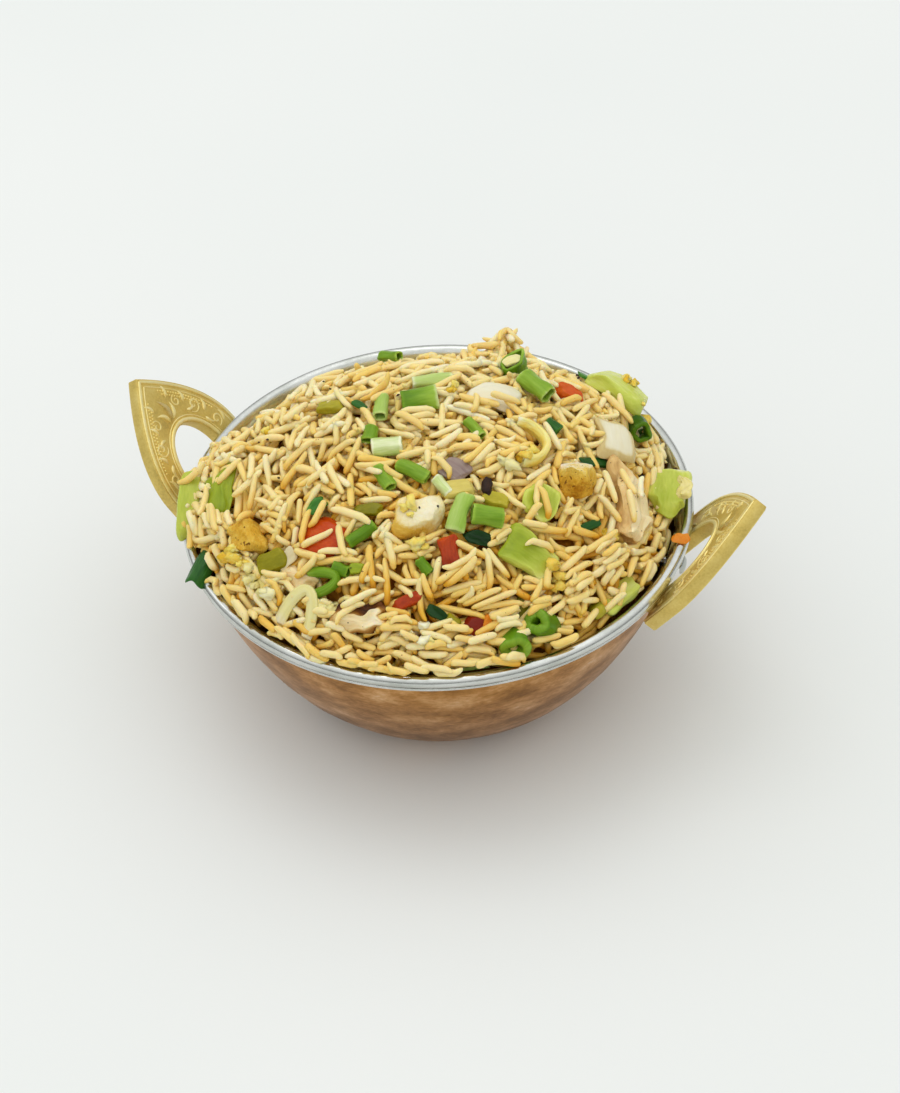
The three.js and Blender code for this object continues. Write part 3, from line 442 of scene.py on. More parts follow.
@dataclass(frozen=True)
class MetalFinish(Coat):
    """Finish of a metal, worn uneven in patches.

    The patches have sizes in millimetres along X, Y and Z, read in Object coordinates.
    """

    patch: tuple[float, float, float]
    patch_amount: float
    fleck_amount: float
    roughness: float
    roughness_swing: float
    relief: float
    metal: float = 1.0

    def paint(self, graph: Graph) -> dict:
        """Adds the finish's nodes and returns what goes into the shader."""
        place = graph.add("ShaderNodeTexCoord").outputs["Object"]
        patched = graph.stretched(place, tuple(1 / (METRES * size) for size in self.patch))
        uneven = graph.group(Patches, {
            "Vector": patched, "Tint": graph.carried("tint", "Fac"), "Patch Scale": 1.0,
            "Patch Amount": self.patch_amount, "Fleck Scale": 9.0,
            "Fleck Amount": self.fleck_amount,
        })
        relief = graph.group(Relief, {
            "Vector": patched, "Coarse Scale": 2.0, "Coarse Height": self.relief,
            "Fine Scale": 14.0, "Fine Height": 0.2 * self.relief,
        })
        worn = graph.math("SUBTRACT", uneven, MIDDLE)
        rough = graph.math("ADD", graph.math("MULTIPLY", worn, -self.roughness_swing), self.roughness)
        return {"Base Color": graph.ramp(uneven, self.stops), "Roughness": rough,
                "Metallic": self.metal, "Normal": relief}


class Metal(Enum):
    """The finishes of the bowl."""

    COPPER = MetalFinish(
        "copper_satin", "copper", ((0.0, "5c3a14"), (0.35, "94642a"), (0.58, "b98342"),
                                   (0.8, "d6a46a"), (1.0, "e8c8a4")),
        patch=(16.0, 16.0, 9.0), patch_amount=1.35, fleck_amount=0.5, roughness=0.36,
        roughness_swing=0.2, relief=0.05)
    STEEL = MetalFinish(
        "steel_polished", "steel", ((0.0, "84867f"), (0.5, "c2c4be"), (1.0, "ececea")),
        patch=(14.0, 14.0, 3.0), patch_amount=0.9, fleck_amount=0.3, roughness=0.2,
        roughness_swing=0.12, relief=0.02)
    BRASS = MetalFinish(
        "brass_cast", "brass", ((0.0, "7c6426"), (0.35, "dcc066"), (0.7, "f8e698"),
                                (1.0, "fdf4cc")),
        patch=(7.0, 7.0, 7.0), patch_amount=0.4, fleck_amount=0.3, roughness=0.45,
        roughness_swing=0.2, relief=0.06, metal=0.6)


def link(name: str, data: bpy.types.ID) -> bpy.types.Object:
    """Puts a new object with some data into the scene."""
    made = bpy.data.objects.new(name, data)
    bpy.context.scene.collection.objects.link(made)
    return made


def sharp_edges(form: bmesh.types.BMesh, degrees: float) -> list[bmesh.types.BMEdge]:
    """Lists the edges whose two faces meet at more than an angle."""
    return [edge for edge in form.edges
            if len(edge.link_faces) == 2 and edge.calc_face_angle() > math.radians(degrees)]


def soften(form: bmesh.types.BMesh, edges: list[bmesh.types.BMEdge], width: float) -> None:
    """Rounds some edges off."""
    bmesh.ops.bevel(form, geom=edges, offset=width, offset_type="OFFSET", segments=2, profile=0.5,
                    affect="EDGES", material=-1, clamp_overlap=True)


def turn_form(form: bmesh.types.BMesh, angle: float, axis: str) -> None:
    """Turns a shape round an axis through the origin."""
    bmesh.ops.rotate(form, cent=(0, 0, 0), matrix=Matrix.Rotation(angle, 3, axis), verts=form.verts)


def framed(*axes: Vector) -> Matrix:
    """Turn that carries X, Y and Z to three axes."""
    return Matrix(axes).transposed().to_4x4()


def to_mesh(name: str, form: bmesh.types.BMesh, crease: Optional[float] = None) -> bpy.types.Mesh:
    """Makes a mesh in metres of a shape in millimetres, and frees the shape.

    Args:
        name: The mesh's name.
        form: The shape.
        crease: Angle in degrees past which an edge stays sharp.

    Returns:
        The mesh.
    """
    bmesh.ops.transform(form, matrix=Matrix.Scale(METRES, 4), verts=form.verts)
    if crease is not None:
        for edge in sharp_edges(form, crease):
            edge.smooth = False
    mesh = bpy.data.meshes.new(name)
    form.to_mesh(mesh)
    form.free()
    return mesh


def place_piece(name: str, mesh: bpy.types.Mesh, finish: Enum, *nodes: str, slot: str = "",
                rounds: int = 0) -> bpy.types.Object:
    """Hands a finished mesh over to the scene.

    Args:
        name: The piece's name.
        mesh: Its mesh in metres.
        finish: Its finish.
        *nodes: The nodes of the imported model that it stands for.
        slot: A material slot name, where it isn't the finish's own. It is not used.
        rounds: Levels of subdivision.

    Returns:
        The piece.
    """
    mesh.name = name
    piece = link(name, mesh)
    mesh.materials.append(finish.value.material())
    mesh.polygons.foreach_set("use_smooth", [True] * len(mesh.polygons))
    if rounds:
        finer = piece.modifiers.new("rounding", "SUBSURF")
        finer.levels = finer.render_levels = rounds
    slot = slot or finish.value.slot
    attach(piece, "root")
    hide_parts(*nodes)
    log.info("%s: %d faces", name, len(mesh.polygons))
    return piece


def tinted(form: bmesh.types.BMesh, tint: Callable[[Vector], float]) -> None:
    """Writes the tint that a metal's colours follow on every vertex."""
    layer = form.verts.layers.float.get("tint") or form.verts.layers.float.new("tint")
    for vertex in form.verts:
        vertex[layer] = tint(vertex.co)


@dataclass(frozen=True)
class BowlForm:
    """Outline of the bowl's wall, as radius and height."""

    rim_radius: float = 82.5
    rim_height: float = 67.0
    base_radius: float = 36.5
    bead_radius: float = 2.0
    jacket_wall: float = 1.2
    liner_wall: float = 1.0
    gap: float = 0.3
    belly_bend: float = 1.37
    roundness: float = 1.77

    @property
    def neck(self) -> Point:
        """Radius and height where the wall meets the bead."""
        return self.rim_radius - 1.5 * self.bead_radius, self.rim_height - self.bead_radius

    @property
    def inner_inset(self) -> float:
        """Distance from the outer face to the liner's inner face."""
        return self.jacket_wall + self.gap + self.liner_wall

    def belly(self, height: float) -> float:
        """Outer radius at a height."""
        share = min(max(height / self.neck[1], 0.0), 1.0)
        swell = (1 - (1 - share) ** self.belly_bend) ** (1 / self.roundness)
        return self.base_radius + (self.neck[0] - self.base_radius) * swell

    def wall(self, inset: float, stations: int = 28) -> list[Point]:
        """Outline moved inwards by an inset along its normals, from the base to the neck.

        Args:
            inset: Distance inwards.
            stations: How many points it has.

        Returns:
            Points of radius and height.
        """
        shares = [0.96 * (i / (stations - 1)) ** 1.8 for i in range(stations)]
        heights = [share * self.neck[1] for share in shares]
        points = []
        for i, height in enumerate(heights):
            low = heights[max(i - 1, 0)]
            high = heights[min(i + 1, stations - 1)]
            along = Vector((self.belly(high) - self.belly(low), high - low)).normalized()
            points.append((self.belly(height) - along.y * inset, height + along.x * inset))
        return points

    def inside_radius(self, height: np.ndarray) -> np.ndarray:
        """Radius of the liner's inner face at a height, up to where it meets the bead."""
        lip = (self.rim_radius - 1.71 * self.bead_radius, self.rim_height - 0.29 * self.bead_radius)
        points = np.array([*self.wall(self.inner_inset), lip])
        return np.interp(height, points[:, 1], points[:, 0])


@dataclass(frozen=True)
class Bowl:
    """The copper jacket, the steel liner and the steel collar under its rolled bead.

    Sectors is how many steps a full turn has.
    """

    form: BowlForm
    sectors: int = 160

    def lathe(self, outline: Sequence[Point], closed: bool) -> bmesh.types.BMesh:
        """Spins an outline of radius and height round the Z axis.

        Args:
            outline: Its points, which end on the axis unless it is closed.
            closed: Whether the last point joins the first.

        Returns:
            The turned shape.
        """
        turned = bmesh.new()
        spots = [turned.verts.new((radius, 0, height)) for radius, height in outline]
        pairs = list(zip(spots, spots[1:]))
        if closed:
            pairs.append((spots[-1], spots[0]))
        edges = [turned.edges.new(pair) for pair in pairs]
        bmesh.ops.spin(turned, geom=spots + edges, cent=(0, 0, 0), axis=(0, 0, 1),
                       angle=2 * math.pi, steps=self.sectors, use_merge=True)
        bmesh.ops.remove_doubles(turned, verts=turned.verts, dist=0.001)
        bmesh.ops.recalc_face_normals(turned, faces=turned.faces)
        return turned

    def jacket(self) -> None:
        """Makes the copper jacket, beaten a little uneven."""
        form = self.form
        top = form.rim_height - 2 * form.bead_radius - form.gap
        outside = form.wall(0.0)
        inside = form.wall(form.jacket_wall)
        edge = form.belly(top)
        turned = self.lathe([(0, 0), *outside, (edge, top), (edge - form.jacket_wall, top),
                             *reversed(inside), (0, form.jacket_wall)], closed=False)
        for vertex in turned.verts:
            outward = Vector((vertex.co.x, vertex.co.y, 0))
            if outward.length > form.base_radius + 1:
                beaten = 0.16 * noise.noise(Vector((vertex.co.x, vertex.co.y, 1.6 * vertex.co.z)) / 9)
                vertex.co += outward.normalized() * beaten
        tinted(turned, lambda spot: 0.42 + 0.16 * spot.z / top)
        place_piece("bowl_jacket", to_mesh("bowl_jacket", turned, 40), Metal.COPPER, "copper_jacket")

    def liner(self) -> None:
        """Makes the steel liner with the bead rolled out of its edge."""
        form = self.form
        outside = form.wall(form.jacket_wall + form.gap)
        inside = form.wall(form.inner_inset)
        neck_radius = form.neck[0] - form.jacket_wall - 2 * form.gap
        centre = (form.rim_radius - form.bead_radius, form.rim_height - form.bead_radius)
        bead = []
        for i in range(BEAD_STEPS + 1):
            angle = math.radians(225 + 270 * i / BEAD_STEPS)
            bead.append((centre[0] + form.bead_radius * math.cos(angle),
                         centre[1] + form.bead_radius * math.sin(angle)))
        floor = form.jacket_wall + form.gap
        turned = self.lathe([(0, floor), *outside, (neck_radius, form.rim_height - 2 * form.bead_radius),
                             *bead, *reversed(inside), (0, floor + form.liner_wall)], closed=False)
        tinted(turned, lambda spot: 0.62)
        place_piece("bowl_liner", to_mesh("bowl_liner", turned, 50), Metal.STEEL, "steel_liner")

    def collar(self) -> None:
        """Makes the thin ring that closes the seam between jacket and bead."""
        form = self.form
        low = form.rim_height - 2 * form.bead_radius - form.gap
        inner = form.belly(low) - 0.4
        outer = form.rim_radius - 0.9
        ring = self.lathe([(inner, low - 0.9), (outer - 0.3, low - 0.9), (outer, low - 0.6),
                           (outer, low - 0.2), (outer - 0.3, low), (inner, low)], closed=True)
        tinted(ring, lambda spot: 0.7)
        place_piece("bowl_collar", to_mesh("bowl_collar", ring), Metal.STEEL, "steel_liner")

    def build(self) -> None:
        """Makes the bowl's pieces."""
        self.jacket()
        self.liner()
        self.collar()


def follow(points: Sequence[Point]) -> Callable[[float], Point]:
    """Turns a line of points into a route from 0 to 1 of its length."""
    spots = np.array(points, float)
    steps = np.hypot(*np.diff(spots, axis=0).T)
    run = np.concatenate([[0.0], np.cumsum(steps)]) / steps.sum()

    def route(share: float) -> Point:
        """Point at a share of the length."""
        return (float(np.interp(share, run, spots[:, 0])), float(np.interp(share, run, spots[:, 1])))
    return route


def rod(sides: int, steps: int, capped: bool, put: Callable[[float, float], Vector],
        shade: Callable[[float, float], float]) -> bmesh.types.BMesh:
    """Makes a rod with many sides and steps, shaped by a rule.

    Args:
        sides: Sides of its section.
        steps: Steps along it.
        capped: Whether its ends are closed.
        put: Place of a vertex by its share of the length and its angle round the section.
        shade: Tint of a vertex by the same two.

    Returns:
        The rod, whose local coordinates run along it and round it.
    """
    form = bmesh.new()
    tint = form.verts.layers.float.new("tint")
    local = form.verts.layers.float_vector.new("local")
    bmesh.ops.create_cone(form, cap_ends=capped, segments=sides, radius1=1.0, radius2=1.0, depth=2.0)
    lengthwise = [edge for edge in form.edges if abs(edge.verts[0].co.z - edge.verts[1].co.z) > 1]
    bmesh.ops.subdivide_edges(form, edges=lengthwise, cuts=steps - 1)
    for vertex in form.verts:
        share = (vertex.co.z + 1) / 2
        angle = math.atan2(vertex.co.y, vertex.co.x)
        vertex.co = put(share, angle)
        vertex[tint] = shade(share, angle)
        vertex[local] = Vector((share, angle, 0.0))
    return form


def append(form: bmesh.types.BMesh, part: bmesh.types.BMesh) -> None:
    """Adds a part to a shape, and frees the part."""
    mesh = bpy.data.meshes.new("part")
    part.to_mesh(mesh)
    part.free()
    form.from_mesh(mesh)
    bpy.data.meshes.remove(mesh)


@dataclass(frozen=True)
class FaceWork:
    """Raised lines, scrolls, leaves and beads that are laid on one face of a handle.

    Level is how far through the plate the middles of the ridges lie, and relief how high a ridge
    stands for its half width.
    """

    form: bmesh.types.BMesh
    level: float
    relief: float

    def stroke(self, route: Callable[[float], Point], radius: Callable[[float], float], steps: int,
               sides: int = 8) -> None:
        """Lays a rounded ridge along a route.

        Args:
            route: Point across and up the slope by the share of the way.
            radius: Half width of the ridge by the share of the way.
            steps: How many steps it has along the route.
            sides: Sides of its section.
        """
        def put(share: float, angle: float) -> Vector:
            """Place of a point of the ridge."""
            middle = Vector(route(share))
            here, ahead = middle, Vector(route(min(share + 0.01, 1.0)))
            if share > 0.985:
                here, ahead = Vector(route(share - 0.01)), middle
            along = (ahead - here).normalized()
            size = max(radius(share), 0.04)
            across = size * math.cos(angle)
            return Vector((middle.x - along.y * across, middle.y + along.x * across,
                           self.level - self.relief * size * math.sin(angle)))
        ridge = rod(sides, steps, True, put, lambda share, angle: 0.6 + 0.18 * math.sin(angle))
        append(self.form, ridge)

    def leaf(self, foot: Point, heading: float, long: float, wide: float) -> None:
        """Lays a leaf: a drop with a point at its foot.

        Args:
            foot: Where the leaf starts.
            heading: Its direction in degrees.
            long: Its length.
            wide: Its width.
        """
        cos, sin = math.cos(math.radians(heading)), math.sin(math.radians(heading))

        def route(share: float) -> Point:
            """Line of the leaf, bent a little."""
            out = long * share
            bow = 0.18 * long * math.sin(math.pi * share)
            return foot[0] + out * cos - bow * sin, foot[1] + out * sin + bow * cos

        def girth(share: float) -> float:
            """Half width of the leaf."""
            return wide / 2 * math.sin(math.pi * share ** 0.7) ** 0.8 if 0 < share < 1 else 0.0
        self.stroke(route, girth, 7)

    def scroll(self, middle: Point, side: int, size: float, start: float, turns: float,
               girth: float) -> None:
        """Lays a spiral that winds in towards its middle."""
        def route(share: float) -> Point:
            """Point of the spiral."""
            angle = math.radians(start) + 2 * math.pi * turns * share
            reach = size * (1 - 0.85 * share)
            return middle[0] + side * reach * math.cos(angle), middle[1] + reach * math.sin(angle)
        self.stroke(route, lambda share: girth * (0.35 + 0.65 * math.sin(math.pi * share) ** 0.6), 22)

    def beads(self, route: Callable[[float], Point], first: float, last: float) -> None:
        """Sets a row of small beads between two shares of a route."""
        count = int((last - first) * 44)
        row = bmesh.new()
        for i in range(count):
            x, y = route(first + (last - first) * i / count)
            bmesh.ops.create_icosphere(row, subdivisions=1, radius=0.42,
                                       matrix=Matrix.Translation((x, y, self.level)))
        tinted(row, lambda spot: 0.6)
        append(self.form, row)


@dataclass(frozen=True)
class Handle:
    """A cast brass handle: a pointed arch with a window, a raised border and scrolls.

    Places on the plate are across and down the slope from the tip. A line round the edge or the
    window is its inset, half width, steps and sides. A scroll is its middle, first radius, first
    angle, turns and thickness. A leaf is its foot, heading, length and width. A row of beads is
    its inset and the shares of the edge between which it runs. The strap is its low and high
    edge, thickness and half width.
    """

    bowl: BowlForm
    edge_lines: tuple[tuple[float, float, int, int], ...] = ((1.1, 0.62, 46, 8), (2.8, 0.26, 40, 6))
    window_lines: tuple[tuple[float, float, int, int], ...] = ((1.1, 0.7, 44, 8), (2.5, 0.24, 40, 6))
    scrolls: tuple[tuple[float, float, float, float, float, float], ...] = (
        (12.5, 21.5, 2.9, 200, 1.3, 0.42), (7.2, 15.5, 2.2, 60, 1.2, 0.36),
        (16.6, 31.5, 2.5, 250, 1.2, 0.4), (17.8, 41.0, 2.3, 90, 1.3, 0.38),
    )
    leaves: tuple[tuple[float, float, float, float, float], ...] = (
        (0.0, 19.0, 90, 9.0, 2.2), (1.0, 18.5, 55, 6.0, 1.7), (4.5, 12.0, 70, 4.5, 1.4),
        (9.5, 18.0, 75, 4.5, 1.5), (8.5, 20.5, -10, 4.0, 1.3), (14.5, 26.0, 60, 4.5, 1.5),
        (13.2, 27.5, -60, 4.5, 1.4), (18.8, 34.0, 80, 4.5, 1.3), (15.2, 36.0, -75, 4.0, 1.3),
        (19.6, 45.5, 85, 3.6, 1.3),
    )
    bead_rows: tuple[tuple[float, float, float], ...] = ((3.9, 0.1, 0.62), (5.0, 0.12, 0.5))
    thickness: float = 4.3
    half_width: float = 24.0
    shoulder: float = 36.0
    arch_power: float = 1.87
    foot_end: float = 47.0
    window_top: float = 22.0
    window_spring: float = 38.0
    window_half_width: float = 12.0
    tip_reach: float = 103.4
    tip_height: float = 92.6
    slope: float = math.radians(54)
    relief: float = 0.75
    strap: tuple[float, float, float, float] = (55.5, 62.2, 1.6, 20.0)

    def arch(self, down: float) -> float:
        """Half width of the plate at a distance down from the tip."""
        left = max(1 - down / self.shoulder, 0.0)
        return self.half_width * (1 - left ** self.arch_power)

    def half_route(self, inset: float, steps: int = 30) -> list[Point]:
        """Right half of the plate's outer edge, moved inwards, from the tip down."""
        downs = [self.shoulder * (i / steps) ** 1.5 for i in range(steps + 1)] + [self.foot_end]
        points = [(self.arch(down), -down) for down in downs]
        moved = []
        for i, point in enumerate(points):
            before, after = points[max(i - 1, 0)], points[min(i + 1, len(points) - 1)]
            along = Vector((after[0] - before[0], after[1] - before[1])).normalized()
            spot = (point[0] + along.y * inset, point[1] - along.x * inset)
            if spot[0] >= 0:
                moved.append(spot)
        if moved[0][0] > 0:
            moved.insert(0, (0.0, moved[0][1] + moved[0][0] * 0.6))
        return moved

    def edge_route(self, side: int, inset: float) -> Callable[[float], Point]:
        """Line along one half of the plate's outer edge, moved inwards."""
        return follow([(side * x, y) for x, y in self.half_route(inset)])

    def window_route(self, outset: float, steps: int = 24) -> list[Point]:
        """The window's edge, moved outwards, from the left foot over the top to the right foot."""
        wide = self.window_half_width + outset
        tall = self.window_spring - self.window_top + outset
        angles = [math.pi / 2 * i / steps for i in range(steps + 1)]
        half = [(wide * math.sin(angle), -(self.window_spring - tall * math.cos(angle)))
                for angle in angles] + [(wide, -self.foot_end)]
        return [(-x, y) for x, y in reversed(half[1:])] + half

    def blank(self) -> bmesh.types.BMesh:
        """The plain plate with its window, its inner face at zero."""
        plate = bmesh.new()
        right = self.half_route(0.0)
        left = [(-x, y) for x, y in reversed(right[1:])]
        outline = [*right, *reversed(self.window_route(0.0)), *left]
        face = plate.faces.new([plate.verts.new((x, y, 0)) for x, y in outline])
        grown = bmesh.ops.extrude_face_region(plate, geom=[face])
        moved = [item for item in grown["geom"] if isinstance(item, bmesh.types.BMVert)]
        bmesh.ops.translate(plate, vec=(0, 0, self.thickness), verts=moved)
        bmesh.ops.recalc_face_normals(plate, faces=plate.faces)
        soften(plate, [edge for edge in sharp_edges(plate, 60)
                       if abs(edge.verts[0].co.z - edge.verts[1].co.z) < 0.01], 0.45)
        bmesh.ops.triangulate(plate, faces=[face for face in plate.faces if len(face.verts) > 4])
        tinted(plate, lambda spot: 0.37)
        return plate

    def decorate(self, form: bmesh.types.BMesh, level: float) -> None:
        """Adds the border, the window's band, scrolls, leaves and rows of beads to one face."""
        work = FaceWork(form, level, self.relief)
        for side in (1, -1):
            for inset, half, steps, sides in self.edge_lines:
                work.stroke(self.edge_route(side, inset), lambda share: half, steps, sides)
        for outset, half, steps, sides in self.window_lines:
            work.stroke(follow(self.window_route(outset)), lambda share: half, steps, sides)
        for side in (1, -1):
            for x, down, *shape in self.scrolls:
                work.scroll((side * x, -down), side, *shape)
            for x, down, heading, long, wide in self.leaves:
                work.leaf((side * x, -down), heading if side > 0 else 180 - heading, long, wide)
            for inset, first, last in self.bead_rows:
                work.beads(self.edge_route(side, inset), first, last)

    def strap_band(self) -> bmesh.types.BMesh:
        """The band on the wall that carries both feet."""
        low, high, thick, half = self.strap
        inner = [self.bowl.belly(level) + self.bowl.gap for level in (low, high)]
        section = [(inner[0], low), (inner[0] + thick, low), (inner[1] + thick, high), (inner[1], high)]
        reach = math.asin(half / inner[0])
        band = bmesh.new()
        spots = [band.verts.new((radius * math.cos(-reach), radius * math.sin(-reach), height))
                 for radius, height in section]
        face = band.faces.new(spots)
        bmesh.ops.spin(band, geom=[face, *face.edges, *spots], cent=(0, 0, 0), axis=(0, 0, 1),
                       angle=2 * reach, steps=24, use_merge=False)
        bmesh.ops.recalc_face_normals(band, faces=band.faces)
        soften(band, sharp_edges(band, 60), 0.3)
        tinted(band, lambda spot: 0.55)
        return band

    def placed(self) -> Matrix:
        """Where the plate's plane lies at the bowl's right side."""
        across = Vector((0, 1, 0))
        up_slope = Vector((math.cos(self.slope), 0, math.sin(self.slope)))
        turned = framed(across, up_slope, across.cross(up_slope))
        return Matrix.Translation((self.tip_reach, 0, self.tip_height)) @ turned

    def build(self, side: str) -> None:
        """Makes the handle of one side, right at +X or left at -X."""
        form = self.blank()
        self.decorate(form, 0.05)
        self.decorate(form, self.thickness - 0.05)
        bmesh.ops.transform(form, matrix=self.placed(), verts=form.verts)
        append(form, self.strap_band())
        if side == "left":
            turn_form(form, math.pi, "Z")
        bmesh.ops.recalc_face_normals(form, faces=form.faces)
        name = f"cast_handle_{side}"
        place_piece(name, to_mesh(name, form, 38), Metal.BRASS, f"handle_{side}")


@dataclass(frozen=True)
class Rivet:
    """A steel rivet through the strap and the wall, with a domed head at each end."""

    bowl: BowlForm
    height: float = 59.5
    radius: float = 3.0
    rise: float = 1.4
    shank: float = 1.5
    strap_thickness: float = 1.6

    def build(self, side: str) -> None:
        """Makes the rivet of one side."""
        gap = self.bowl.gap
        outside = self.bowl.belly(self.height + self.radius) + self.strap_thickness + 2 * gap
        inside = float(self.bowl.inside_radius(np.array(self.height - self.radius))) - gap
        dome = [(self.radius * math.sin(angle), self.rise * math.cos(angle))
                for angle in (math.pi / 2 * i / DOME_STEPS for i in range(DOME_STEPS + 1))]
        profile = [(radius, inside - out) for radius, out in dome]
        profile += [(self.shank, inside), (self.shank, outside)]
        profile += [(radius, outside + out) for radius, out in reversed(dome)]
        turned = Bowl(self.bowl, 32).lathe(profile, closed=False)
        turn_form(turned, math.pi / 2, "Y")
        bmesh.ops.translate(turned, vec=(0, 0, self.height), verts=turned.verts)
        if side == "left":
            turn_form(turned, math.pi, "Z")
        tinted(turned, lambda spot: 0.35)
        name = f"steel_rivet_{side}"
        place_piece(name, to_mesh(name, turned, 60), Metal.STEEL, f"rivet_{side}")


# Direction away from the camera, and how far and over which band the grains lie lower there
BACKWARD = (-0.362, 0.932)
BACK_DIP = 8.5
BACK_BAND = (24, 58)


@dataclass(frozen=True)
class HeapForm:
    """Outline of the heap of rice: a dome over a level that changes round the wall, with lumps."""

    bowl: BowlForm
    rise: float = 36.0
    radius: float = 77.0
    fullness: float = 2.4
    shoulder: float = 0.8
    sink: float = 1.2
    edge: tuple[Point, ...] = (
        (0, -8.5), (15, -9), (35, -2), (45, 1), (80, -2), (110, -4), (135, -8), (165, -10), (176, -8),
        (187, 4), (200, 7), (212, 7), (226, 1), (245, -3), (320, -3), (345, -4), (360, -8.5),
    )
    lumps: tuple[tuple[float, float, float, float], ...] = (
        (5, 57, 6, 6), (-55, 33, 4, 5), (14, 18, 1.5, 9), (-32, -20, 1.5, 10), (24, -44, 1.5, 8),
        (46, -57, -4, 7),
    )

    def dip(self, x: np.ndarray, y: np.ndarray) -> np.ndarray:
        """How far the grains at the far side lie under the outline."""
        return BACK_DIP * smoothstep(*BACK_BAND, BACKWARD[0] * x + BACKWARD[1] * y)

    def edge_level(self, x: np.ndarray, y: np.ndarray) -> np.ndarray:
        """Level of the rice at the wall over the rim, eased between the listed bearings."""
        bearings, levels = np.array(self.edge).T
        bearing = np.degrees(np.arctan2(y, x)) % 360
        i = np.clip(np.searchsorted(bearings, bearing, side="right"), 1, len(bearings) - 1)
        eased = smoothstep(bearings[i - 1], bearings[i], bearing)
        return levels[i - 1] + (levels[i] - levels[i - 1]) * eased

    def height(self, x: np.ndarray, y: np.ndarray) -> np.ndarray:
        """Height of the heap's outline over the floor."""
        x, y = np.asarray(x, float), np.asarray(y, float)
        share = np.minimum(np.hypot(x, y) / self.radius, 1.0)
        level = self.edge_level(x, y)
        dome = (1 - share ** self.fullness) ** self.shoulder
        total = self.bowl.rim_height + level + (self.rise - level) * dome
        for east, north, rise, spread in self.lumps:
            total = total + rise * np.exp(-((x - east) ** 2 + (y - north) ** 2) / spread ** 2 / 2)
        return total

    def normal(self, x: float, y: float) -> Vector:
        """Outward direction of the heap's surface."""
        step = 2.0
        slope_x = (self.height(x + step, y) - self.height(x - step, y)) / (2 * step)
        slope_y = (self.height(x, y + step) - self.height(x, y - step)) / (2 * step)
        return Vector((-slope_x, -slope_y, 1.0)).normalized()


class Cut(Enum):
    """How a topping is cut."""

    SLAB = "slab"
    STEM = "stem"
    CURL = "curl"


SLAB, STEM, CURL = Cut


